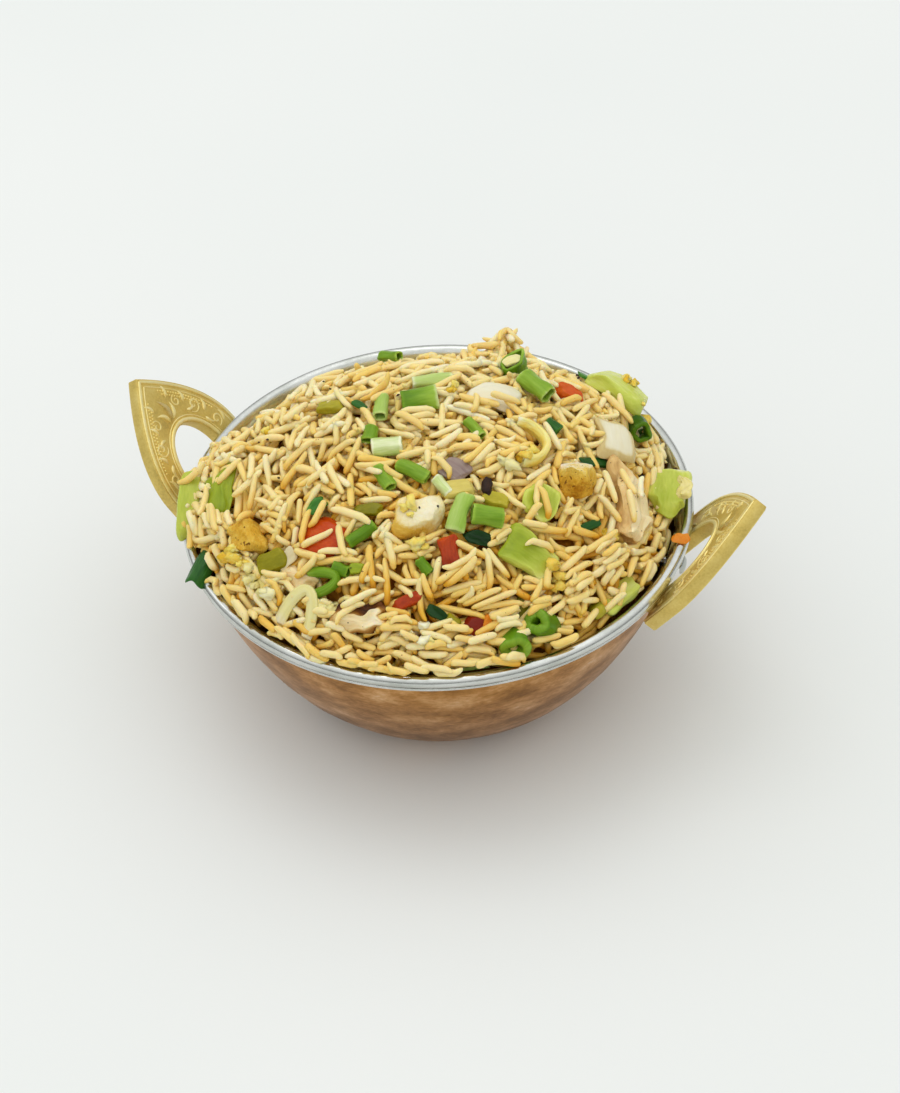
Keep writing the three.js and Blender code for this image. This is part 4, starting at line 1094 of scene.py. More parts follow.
@dataclass(frozen=True)
class Topping:
    """One piece that lies in the rice: its cut, finish, place, size and the way it is bent.

    The place is X, Y and a heading in degrees. Lift raises the piece off the heap's outline,
    height sets it over the floor instead, and stand turns it from the heap's slope upright.
    Tint, top, rim and ahead say how its colour runs. Square says how boxy its outline is, ragged
    how uneven, soft how rounded its edges are, and rough how far its skin is uneven in
    millimetres.
    """

    name: str
    cut: Cut
    finish: Finish
    spot: tuple[float, float, float]
    size: tuple[float, float, float]
    bend: float = 0.0
    cup: float = 0.0
    taper: float = 0.0
    crown: float = 0.3
    wave: float = 0.0
    spread: float = 0.0
    roll: float = 0.0
    pitch: float = 0.0
    stand: float = 0.0
    lift: Optional[float] = None
    height: Optional[float] = None
    tint: float = 0.5
    top: float = 0.0
    rim: float = 0.0
    ahead: float = 0.0
    square: float = 4.0
    ragged: float = 0.3
    soft: float = 0.4
    rough: float = 0.25
    wall: float = 0.75
    slot: str = ""

    @property
    def seed(self) -> Vector:
        """Offset that gives each piece noise of its own."""
        return Vector((3.1 * self.spot[0], 2.7 * self.spot[1], 11.3 + self.size[0]))

    def placed(self, heap: HeapForm) -> Matrix:
        """Where the piece lies on the heap."""
        x, y, turn = self.spot
        thick = self.size[2]
        lift = thick / 2 - heap.sink if self.lift is None else self.lift
        up = heap.normal(x, y).lerp(Vector((0, 0, 1)), self.stand).normalized()
        heading = math.radians(turn)
        ahead = Vector((math.cos(heading), math.sin(heading), 0))
        ahead = (ahead - up * ahead.dot(up)).normalized()
        level = float(heap.height(x, y)) + lift if self.height is None else self.height
        turned = (Matrix.Rotation(math.radians(self.pitch), 4, "Y")
                  @ Matrix.Rotation(math.radians(self.roll), 4, "X"))
        return Matrix.Translation((x, y, level)) @ framed(ahead, up.cross(ahead), up) @ turned

    def slab_point(self, corner: Vector) -> Vector:
        """Where a point of a cube goes in a cut slab, with more points near its edges."""
        n = self.square
        u, v, w = (math.sin(math.pi / 2 * value) for value in corner)
        norm = (abs(u) ** n + abs(v) ** n) ** (1 / n)
        if norm > 0:
            angle = math.atan2(v, u)
            round_it = Vector((1.3 * math.cos(angle), 1.3 * math.sin(angle), 0.4 * w))
            scale = max(abs(u), abs(v)) / norm * (1 + self.ragged * noise.noise(round_it + self.seed))
            scale *= 1 - 0.25 * self.soft * w ** 4 - 0.05 * w
            u, v = u * scale, v * scale
        long, wide, thick = self.size
        half = thick / 2 * (1 - self.crown * (u * u + v * v) / 2)
        middle = -self.bend * u * u - self.cup * v * v + self.wave * math.sin(2.3 * u + 1.7 * v) * v
        return Vector((u * long / 2, v * wide / 2 * (1 - self.taper * (u + 1) / 2), middle + w * half))

    def slab(self) -> bmesh.types.BMesh:
        """A cut piece: a subdivided cube shaped to a rounded, uneven slab."""
        form = bmesh.new()
        bmesh.ops.create_cube(form, size=2.0)
        bmesh.ops.subdivide_edges(form, edges=form.edges, cuts=9, use_grid_fill=True)
        local = form.verts.layers.float_vector.new("local")
        tint = form.verts.layers.float.new("tint")
        for vertex in form.verts:
            corner = vertex.co.copy()
            spot = self.slab_point(corner)
            broad = noise.noise_vector((spot + self.seed) / 4.5)
            fine = noise.noise_vector((spot + self.seed) / 1.6)
            vertex.co = spot + self.rough * (1.4 * broad + 0.6 * fine)
            vertex[local] = spot + self.seed
            edge = smoothstep(0.5, 1.0, max(abs(corner.x), abs(corner.y)))
            vertex[tint] = (self.tint + self.top * max(corner.z, 0) + self.rim * edge
                            + self.ahead * corner.x)
        return form

    def route(self, share: float) -> Vector:
        """Middle line of a stem or curl by the share of its length."""
        long = self.size[0]
        t = 2 * share - 1
        if self.cut is CURL:
            aside = -self.spread / 2 * math.sin(math.pi / 2 * t)
            return Vector((long / 2 * (1 - 2 * abs(t) ** 1.6), aside, 0.3 * (1 - t * t)))
        return Vector((t * long / 2, 0, -self.bend * t * t))

    def stem(self) -> bmesh.types.BMesh:
        """A length of hollow stem, a little crumpled, with a thin wall and paler cut ends."""
        wide, thick = self.size[1], self.size[2]

        def put(share: float, angle: float) -> Vector:
            """Place of a point of the stem's skin."""
            middle = self.route(share)
            behind, before = self.route(max(share - 0.02, 0.0)), self.route(min(share + 0.02, 1.0))
            along = (before - behind).normalized()
            up = Vector((0, 0, 1))
            side = up.cross(along).normalized()
            up = along.cross(side)
            t = 2 * share - 1
            cos, sin = math.cos(angle), math.sin(angle)
            dent = noise.noise(Vector((cos * 1.2, sin * 1.2, 2.2 * share)) + self.seed)
            crumple = 1 + 0.3 * dent + 0.05 * t * t
            across = wide / 2 * crumple * cos
            rise = thick / 2 * crumple * sin
            ragged = 0.35 * t * noise.noise(Vector((2 * cos, 2 * sin, t)) + self.seed)
            return middle + side * across + up * rise + along * ragged

        def shade(share: float, angle: float) -> float:
            """Tint of a point of the skin, paler at the cut ends."""
            t = 2 * share - 1
            return (self.tint + self.top * max(math.sin(angle), 0) + self.ahead * t
                    + 0.22 * smoothstep(0.82, 1.0, abs(t)))
        form = rod(20, 9, False, put, shade)
        local = form.verts.layers.float_vector["local"]
        for vertex in form.verts:
            share, angle, _ = vertex[local]
            vertex[local] = Vector((share * self.size[0], 2.2 * angle, 0.0)) + self.seed
        return form

    def build(self, heap: HeapForm, node: str) -> bmesh.types.BMesh:
        """Makes the piece and hands it over.

        Args:
            heap: The heap that it lies on.
            node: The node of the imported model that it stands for.

        Returns:
            Its shape in millimetres, for the grains to rest on.
        """
        form = self.slab() if self.cut is SLAB else self.stem()
        bmesh.ops.transform(form, matrix=self.placed(heap), verts=form.verts)
        bmesh.ops.recalc_face_normals(form, faces=form.faces)
        rest = form.copy()
        name = f"food_{self.name}"
        piece = place_piece(name, to_mesh(name, form), self.finish, node, slot=self.slot, rounds=1)
        if self.cut is not SLAB:
            wall = piece.modifiers.new("wall", "SOLIDIFY")
            wall.thickness = self.wall * METRES
            wall.offset = -1.0
            piece.modifiers.move(1, 0)
        return rest


@dataclass(frozen=True)
class Filling:
    """One go at filling the pile: how many grains, of what size, and how freely they lie.

    Ceiling is how far a grain's middle may lie over the goal, patience the most share of it that
    may lie over a covered place, raised the share of grains with one tip lifted, and choice how
    many places are looked at before the lowest is taken. A grain rests on the firmest part of
    what lies under it and sinks into that by sink, and nowhere by more than deepest. Outside keeps
    the filling out of that radius, where the grains lie along the wall. Brim is for grains that
    lean from the pile towards the bead at the front.
    """

    count: int
    ceiling: float
    patience: float = 0.3
    long: Point = (9.0, 13.2)
    wide: Point = (2.1, 2.6)
    raised: float = 0.0
    choice: int = 60
    firm: float = 0.8
    sink: float = 0.6
    deepest: float = 1.7
    outside: float = 0.0
    brim: bool = False


PACKED = Filling(3600, -3.1, patience=1.0, sink=0.7, firm=0.5, deepest=3.0)
ALONG_WALL = Filling(1400, 0.6, long=(6.0, 10.0), choice=200, sink=0.4, firm=0.5, deepest=5.0,
                     outside=69.0)
ON_BRIM = Filling(260, 1.0, long=(6.0, 10.0), choice=40, sink=0.8, firm=0.6, deepest=6.0, brim=True)
LOOSE = Filling(2600, -0.2, long=(10.5, 15.0), raised=0.35, firm=0.7, deepest=2.2)
BROKEN = Filling(1100, -0.3, patience=0.45, long=(5.5, 8.5), wide=(1.9, 2.3), choice=200, sink=0.3,
                 firm=0.35, deepest=5.0)
LAID = Filling(1, 99.0, patience=1.0, deepest=9.0)


# A grain's girth from tip to tip, for its rest on what lies under it and for its own top
STATIONS = np.linspace(-1, 1, 12)
GIRTHS = np.sqrt(1 - np.abs(STATIONS) ** 6 * 0.9)
LATERALS = np.array([[-0.75, 0.0, 0.75]])
BELLIES = np.sqrt(1 - LATERALS ** 2)
TOP_STATIONS = np.linspace(-0.96, 0.96, 25)
TOP_LATERALS = np.linspace(-0.9, 0.9, 6)[None, :]
TOP_BELLIES = np.sqrt(np.maximum(1 - TOP_LATERALS ** 2 - TOP_STATIONS[:, None] ** 8, 0))

# Bow, bluntness, narrowing and twist of each shape of grain
GRAIN_SHAPES = (
    (0.25, 0.5, 0.06, 0.0), (0.8, 0.44, -0.1, 0.3), (1.5, 0.5, 0.08, 0.0), (-0.3, 0.42, 0.16, -0.6),
    (1.0, 0.55, -0.06, 0.5), (0.5, 0.45, 0.14, -0.3), (2.1, 0.5, -0.1, 0.4), (-0.9, 0.46, 0.0, 0.6),
)

# Where the pile may go: over the rim where it is high, off the wall, and to the bead in front
OVERHANG = 2.5
SPILL_SLOPE = 0.9
WALL_GAP = 1.4
BRIM_BEARINGS = (226, 318)
BRIM_RISE = 3.0

# Lumps as X, Y, rise and spread, a trim by bearing in a band at the wall, and low waves
GOAL_LUMPS = ((5, 57, 7, 6), (46, -57, 4, 8), (16, -72, 1.5, 6))
WALL_TRIM = ((0, 0.5), (95, 0.0), (120, -3.0), (172, -3.0), (190, 1.5), (215, 4.0),
             (228, 5.5), (250, 5.0), (335, 4.0), (360, 0.5))
WALL_BAND = (64, 10)
WAVES = 14
WAVE_HEIGHT = 0.5

# When a grain is refused, and when a filling ends
STEEPEST = 1.1
WALL_CLEARANCE = 0.2
RIM_CLEARANCE = 0.3
RIM_REACH = 4
LEAST_ROOM = 0.3
MOST_MISSES = 1500
TIRED = 99.0

# Tones of the grains, which differ at random, and painted shade: how much darker a grain is painted
# underneath and where it lies deep, and by place, which paints the front darker and the back lighter
TONES = (("pale", 0.84), ("cream", 0.76), ("warm", 0.69), ("golden", 0.6))
UNDERSIDE_PAINTED_SHADE = 0.42
BURIED_PAINTED_SHADE = 0.05
MOST_BURIED = 4
PAINTED_SHADE_BY_PLACE = ((-60, 30), (1.0, 0.25))


class GrainPile:
    """Real grains of rice that settle one by one on a map of heights.

    The map holds the top of whatever lies there. A grain comes down level at its middle and
    tips until it rests on one point at each side of the middle.
    """

    def __init__(self, heap: HeapForm, cell: float = 0.6, depth: float = 8.0, seed: int = 11) -> None:
        """Prepares the map of heights.

        Args:
            heap: Outline of the heap.
            cell: Size of a cell of the map.
            depth: Depth of the grains under the outline.
            seed: Seed of every random draw.
        """
        self.heap = heap
        self.cell = cell
        self.draw = np.random.default_rng(seed)
        self.reach = 90.0
        axis = np.arange(-self.reach, self.reach, cell) + cell / 2
        self.east, self.north = np.meshgrid(axis, axis, indexing="ij")
        radius = np.hypot(self.east, self.north)
        bowl = heap.bowl
        outline = heap.height(self.east, self.north)
        overhang = heap.edge_level(self.east, self.north) > OVERHANG
        limit = bowl.inside_radius(outline)
        spill = np.maximum(radius - heap.radius, 0) * SPILL_SLOPE
        self.goal = np.where(radius < limit, outline, -np.inf)
        over = overhang & (radius >= limit - 1) & (radius < bowl.rim_radius + 1.5)
        self.goal = np.where(over, outline - spill, self.goal)
        bearing = np.degrees(np.arctan2(self.north, self.east)) % 360
        near_wall = np.clip((radius - WALL_BAND[0]) / WALL_BAND[1], 0, 1)
        self.goal += self.ripple() + near_wall * np.interp(bearing, *np.array(WALL_TRIM).T)
        dip = heap.dip(self.east, self.north)
        self.goal -= dip
        for east, north, rise, spread in GOAL_LUMPS:
            away = (self.east - east) ** 2 + (self.north - north) ** 2
            self.goal += rise * np.exp(-away / spread ** 2 / 2)
        self.radius = radius
        self.roomy = np.isfinite(self.goal) & ((radius < limit - WALL_GAP) | over)
        bead = bowl.rim_radius - bowl.bead_radius
        lip = bowl.bead_radius ** 2 - (radius - bead) ** 2
        ground = bowl.rim_height - bowl.bead_radius + np.sqrt(np.maximum(lip, 0))
        self.top = np.where(radius < bead - 1, outline - depth - dip, np.where(lip > 0, ground, 0.0))
        self.brim = ((bearing > BRIM_BEARINGS[0]) & (bearing < BRIM_BEARINGS[1])
                     & (radius > limit - WALL_GAP) & (radius < bead))
        self.goal = np.where(self.brim, bowl.rim_height + BRIM_RISE, self.goal)
        self.covered = np.zeros_like(self.top, bool)
        self.grains: list[tuple[float, ...]] = []

    def ripple(self) -> np.ndarray:
        """Low waves that keep the top of the pile uneven."""
        total = np.zeros_like(self.east)
        for _ in range(WAVES):
            angle = self.draw.uniform(0, math.tau)
            length = self.draw.uniform(9, 26)
            phase = self.draw.uniform(0, math.tau)
            total += np.sin(math.tau * (self.east * math.cos(angle) + self.north * math.sin(angle))
                            / length + phase)
        return WAVE_HEIGHT * total

    def index(self, x: np.ndarray, y: np.ndarray) -> tuple[np.ndarray, np.ndarray]:
        """Cells of the map under some points."""
        return (np.clip(((x + self.reach) / self.cell).astype(int), 0, self.top.shape[0] - 1),
                np.clip(((y + self.reach) / self.cell).astype(int), 0, self.top.shape[1] - 1))

    def cover(self, form: bmesh.types.BMesh) -> None:
        """Raises the map to the top of a piece, where no grain is wanted."""
        tree = BVHTree.FromBMesh(form)
        low = [min(vertex.co[axis] for vertex in form.verts) for axis in (0, 1)]
        high = [max(vertex.co[axis] for vertex in form.verts) for axis in (0, 1)]
        (i0, i1), (j0, j1) = (self.index(np.array([a, b]), np.array([a, b]))[0]
                              for a, b in zip(low, high))
        for i in range(i0, i1 + 1):
            for j in range(j0, j1 + 1):
                start = Vector((self.east[i, j], self.north[i, j], 2 * self.reach))
                hit = tree.ray_cast(start, Vector((0, 0, -1)))[0]
                if hit is not None:
                    self.top[i, j] = max(self.top[i, j], hit.z)
                    self.covered[i, j] = True

    def settle(self, x: float, y: float, turn: float, long: float, wide: float,
               order: Filling, raised: float = 0.0) -> bool:
        """Lets one grain come down, and keeps it if it fits.

        Args:
            x: Middle across.
            y: Middle along.
            turn: Heading in radians.
            long: The grain's length.
            wide: Its width.
            order: The filling that it belongs to.
            raised: Slope by which one tip is lifted off its rest.

        Returns:
            Whether the grain was kept.
        """
        along = STATIONS * long / 2
        girth = wide / 2 * GIRTHS
        cos, sin = math.cos(turn), math.sin(turn)
        px = x + along[:, None] * cos - LATERALS * girth[:, None] * sin
        py = y + along[:, None] * sin + LATERALS * girth[:, None] * cos
        cells = self.index(px, py)
        if self.covered[cells].mean() > order.patience:
            return False
        contact = (self.top[cells] + girth[:, None] * BELLIES).max(axis=1)
        slope = float(along @ contact / (along @ along)) + raised
        over_line = contact - contact.mean() - (slope - raised) * along
        firm = np.quantile(over_line, order.firm) - order.sink
        if over_line.max() - firm > order.deepest:
            return False
        level = contact.mean() + firm + abs(raised) * long / 2
        middle = self.index(np.array([x]), np.array([y]))
        if abs(slope) > STEEPEST or level > self.goal[middle][0] + order.ceiling + 2 * abs(raised):
            return False
        ends = level + slope * along
        radii = np.hypot(px[:, 1], py[:, 1]) + girth
        bowl = self.heap.bowl
        inside = radii < bowl.inside_radius(np.minimum(ends, bowl.rim_height)) - WALL_CLEARANCE
        over = (ends > bowl.rim_height + RIM_CLEARANCE) & (radii < bowl.rim_radius + RIM_REACH)
        if not np.all(inside | over):
            return False
        tx = x + TOP_STATIONS[:, None] * (long / 2 * cos) - TOP_LATERALS * (wide / 2 * sin)
        ty = y + TOP_STATIONS[:, None] * (long / 2 * sin) + TOP_LATERALS * (wide / 2 * cos)
        tops = (level + slope * TOP_STATIONS[:, None] * (long / 2)) + wide / 2 * TOP_BELLIES
        np.maximum.at(self.top, self.index(tx, ty), tops)
        self.grains.append((x, y, level, turn, slope, long, wide))
        return True

    def fill(self, order: Filling) -> None:
        """Adds grains where the pile lies furthest under its goal.

        Args:
            order: How many grains, of what size and how freely they lie.
        """
        wanted = np.argwhere(self.brim if order.brim else self.roomy & (self.radius >= order.outside))
        tired = self.covered.copy()
        kept = misses = 0
        while kept < order.count and misses < MOST_MISSES:
            some = wanted[self.draw.integers(0, len(wanted), order.choice)]
            cells = (some[:, 0], some[:, 1])
            room = self.goal[cells] + order.ceiling - self.top[cells] - TIRED * tired[cells]
            i, j = some[room.argmax()]
            if room.max() < LEAST_ROOM:
                misses += 1
                continue
            x = self.east[i, j] + self.draw.uniform(-0.3, 0.3)
            y = self.north[i, j] + self.draw.uniform(-0.3, 0.3)
            long, wide = self.draw.uniform(*order.long), self.draw.uniform(*order.wide)
            raised = 0.0
            if self.draw.random() < order.raised:
                raised = self.draw.uniform(0.1, 0.5) * self.draw.choice((-1, 1))
            along_wall = math.atan2(x, -y) + self.draw.uniform(-0.3, 0.3, 3)
            free = 0 if order.outside or order.brim else 5
            turns = [*self.draw.uniform(0, math.pi, free), *along_wall]
            if any(self.settle(x, y, turn, long, wide, order, raised) for turn in turns):
                kept += 1
                misses = 0
            else:
                misses += 1
                tired[i - 1:i + 2, j - 1:j + 2] = True
        log.info("grains settled: %d", kept)

    def lay(self, x: float, y: float, heading: float, long: float, wide: float = 2.3) -> None:
        """Lays one grain on top of whatever is there, a topping too."""
        self.settle(x, y, math.radians(heading), long, wide, LAID)

    def templates(self) -> list[tuple[np.ndarray, list[tuple[int, ...]]]]:
        """Grains one unit long each way from the middle, each blunt and bent in its own way."""
        shapes = []
        for bow, blunt, narrow, twist in GRAIN_SHAPES:
            form = bmesh.new()
            bmesh.ops.create_uvsphere(form, u_segments=7, v_segments=7, radius=1.0)
            turn_form(form, math.pi / 2, "Y")
            for vertex in form.verts:
                belly = math.sqrt(max(1 - vertex.co.x ** 2, 1e-9))
                along = math.copysign(abs(vertex.co.x) ** 0.45, vertex.co.x)
                fuller = (1 - min(abs(along), 1) ** 6) ** blunt * (1 - narrow * along)
                vertex.co = Vector((
                    along, vertex.co.y / belly * fuller + bow * (0.5 - along * along),
                    vertex.co.z / belly * fuller * 0.94 + twist * (along ** 3 - 0.6 * along),
                ))
            form.verts.ensure_lookup_table()
            spots = np.array([vertex.co[:] for vertex in form.verts])
            faces = [tuple(vertex.index for vertex in face.verts) for face in form.faces]
            form.free()
            shapes.append((spots, faces))
        return shapes

    def build(self) -> None:
        """Joins the grains into pieces, a kind of tone in each."""
        shapes = self.templates()
        tones = [self.draw.integers(0, len(TONES)) for _ in self.grains]
        for tone, (label, shade) in enumerate(TONES):
            spots, faces, tints, locals_ = [], [], [], []
            first = 0
            for grain, kind in zip(self.grains, tones):
                if kind != tone:
                    continue
                x, y, level, turn, slope, long, wide = grain
                shape, corners = shapes[self.draw.integers(0, len(shapes))]
                ahead = Vector((math.cos(turn), math.sin(turn), slope)).normalized()
                side = Vector((-math.sin(turn), math.cos(turn), 0))
                up = ahead.cross(side)
                roll = self.draw.uniform(0, math.tau)
                first_side = side * math.cos(roll) + up * math.sin(roll)
                second_side = up * math.cos(roll) - side * math.sin(roll)
                axes = np.array([ahead * long / 2, first_side * wide / 2, second_side * wide / 2])
                placed = shape @ axes + np.array([x, y, level])
                spots.append(placed)
                locals_.append(shape * [long / 2, wide / 2, wide / 2] + self.draw.uniform(0, 90, 3))
                # Painted shade: each grain is painted darker on its underside and where it lies deep in
                # the pile, more at the front, and the back of the pile is painted lighter.
                away = BACKWARD[0] * x + BACKWARD[1] * y
                painted_shade_here = float(np.interp(away, *PAINTED_SHADE_BY_PLACE))
                under = painted_shade_here * np.clip((level - placed[:, 2]) / wide, 0, 1)
                buried = min(max(float(self.heap.height(x, y)) - level, 0), MOST_BURIED)
                tints.append(self.draw.normal(shade, 0.06) + 0.1 * (0.7 - painted_shade_here)
                             - UNDERSIDE_PAINTED_SHADE * under - BURIED_PAINTED_SHADE * painted_shade_here * buried)
                faces += [tuple(first + corner for corner in face) for face in corners]
                first += len(shape)
            mesh = bpy.data.meshes.new(f"rice_{label}")
            mesh.from_pydata((np.concatenate(spots) * METRES).tolist(), [], faces)
            tint = mesh.attributes.new("tint", "FLOAT", "POINT")
            tint.data.foreach_set("value", np.concatenate(tints).astype(np.float32))
            local = mesh.attributes.new("local", "FLOAT_VECTOR", "POINT")
            local.data.foreach_set("vector", np.concatenate(locals_).astype(np.float32).ravel())
            place_piece(f"rice_{label}", mesh, Finish.RICE, "rice_heap")


# Height at which the core leaves the liner, and one that is clear of the whole bowl
BED_HEIGHT = 50
CLEAR_HEIGHT = 100.0


@dataclass(frozen=True)
class RiceCore:
    """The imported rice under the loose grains: it fills the liner and is rough on top.

    Depth is how far its top lies under the heap's outline. Sectors and rings are how finely it
    is divided round and across.
    """

    heap: HeapForm
    depth: float = 7.4
    sectors: int = 120
    rings: int = 46

    def build(self) -> None:
        """Spins the core and lowers its top under the heap's outline."""
        bowl = self.heap.bowl
        inset = bowl.inner_inset + bowl.gap
        bed = [point for point in bowl.wall(inset) if point[1] < BED_HEIGHT]
        rim = bed[-1][0]
        tops = [(rim * i / self.rings, 2 * CLEAR_HEIGHT) for i in range(self.rings + 1)]
        core = Bowl(bowl, self.sectors).lathe([*tops, *reversed(bed[:-1]), (0, inset)], closed=False)
        local = core.verts.layers.float_vector.new("local")
        tint = core.verts.layers.float.new("tint")
        for vertex in core.verts:
            if vertex.co.z > CLEAR_HEIGHT:
                x, y = vertex.co.x, vertex.co.y
                share = math.hypot(x, y) / rim
                rough = 1.1 * noise.noise(Vector((x, y, 0)) / 2.1)
                level = float(self.heap.height(x, y) - self.heap.dip(x, y)) - self.depth + rough
                vertex.co.z = level + (bed[-1][1] - level) * smoothstep(0.97, 1.0, share)
            vertex[local] = vertex.co
            vertex[tint] = 0.5
        bmesh.ops.recalc_face_normals(core, faces=core.faces)
        # The core's dark brown finish is painted shade for the gaps between the grains.
        place_piece("rice_core", to_mesh("rice_core", core), Finish.CORE, "rice_heap")


# Strength of the room's light from the sides and from above, and where the lamps aim
ROOM_LIGHT = (0.2, 1.36)
LAMP_AIM = Vector((0, 0, 0.07))


class Studio:
    """A pale floor, soft light from above and the camera."""

    focal: float = 72.46
    distance: float = 710.67
    aim_height: float = 67.17
    azimuth: float = 21.23
    elevation: float = 41.22
    yaw: float = 0.26
    pitch: float = -1.30
    roll: float = -2.74

    def floor(self) -> None:
        """Lays the floor."""
        form = bmesh.new()
        bmesh.ops.create_grid(form, x_segments=4, y_segments=4, size=4000)
        mesh = to_mesh("floor", form)
        made, graph, shader = new_material("floor_pale")
        place = graph.add("ShaderNodeTexCoord").outputs["Object"]
        shades = graph.ramp(graph.cloud(place, 3.0), ((0.3, "eaecea"), (0.7, "eeefed")))
        graph.feed(shader, {"Base Color": shades, "Roughness": 0.75})
        mesh.materials.append(made)
        link("floor", mesh)

    def light(self) -> None:
        """Hangs a large soft light over the table, a smaller one behind, and lights the room."""
        room = bpy.data.worlds.new("room")
        room.use_nodes = True
        graph = Graph(room.node_tree)
        direction = graph.add("ShaderNodeTexCoord").outputs["Generated"]
        up = graph.add("ShaderNodeSeparateXYZ", {"Vector": direction}).outputs["Z"]
        strength = graph.add("ShaderNodeMapRange", {
            "Value": up, "From Min": 0.0, "From Max": 1.0,
            "To Min": ROOM_LIGHT[0], "To Max": ROOM_LIGHT[1],
        }).outputs["Result"]
        sky = graph.add("ShaderNodeBackground", {"Color": (0.98, 1.0, 0.99, 1.0), "Strength": strength})
        graph.add("ShaderNodeOutputWorld", {"Surface": sky.outputs["Background"]})
        bpy.context.scene.world = room
        for name, place, size, power in (
            ("overhead", (-0.3, 0.2, 1.5), 0.8, 1.6), ("window", (-1.3, 0.2, 1.0), 0.6, 0.6),
        ):
            lamp = bpy.data.lights.new(name, "AREA")
            lamp.shape = "DISK"
            lamp.size = size
            lamp.energy = power
            spot = link(name, lamp)
            spot.location = place
            aim = LAMP_AIM - Vector(place)
            spot.rotation_euler = aim.to_track_quat("-Z", "Y").to_euler()

    def camera(self) -> None:
        """Sets the camera where the photograph was taken from."""
        azimuth, elevation = math.radians(self.azimuth), math.radians(self.elevation)
        back = Vector((math.sin(azimuth) * math.cos(elevation), -math.cos(azimuth) * math.cos(elevation),
                       math.sin(elevation)))
        right = Vector((math.cos(azimuth), math.sin(azimuth), 0))
        up = right.cross(-back)
        yaw, pitch, roll = (math.radians(turn) for turn in (self.yaw, self.pitch, self.roll))
        ahead = (-back * math.cos(yaw) * math.cos(pitch) + right * math.sin(yaw) * math.cos(pitch)
                 + up * math.sin(pitch)).normalized()
        level = ahead.cross(Vector((0, 0, 1))).normalized()
        upright = level.cross(ahead)
        across = level * math.cos(roll) + upright * math.sin(roll)
        upward = upright * math.cos(roll) - level * math.sin(roll)
        lens = bpy.data.cameras.new("camera")
        lens.lens = self.focal
        lens.sensor_width = 36.0
        lens.sensor_fit = "AUTO"
        lens.clip_start = 0.01
        eye = link("camera", lens)
        spot = (Vector((0, 0, self.aim_height)) + back * self.distance) * METRES
        eye.matrix_world = Matrix.Translation(spot) @ framed(across, upward, -ahead)
        bpy.context.scene.camera = eye

    def build(self) -> None:
        """Sets up floor, light and camera."""
        self.camera()
        self.floor()
        self.light()
        bpy.context.scene.view_settings.view_transform = "Standard"


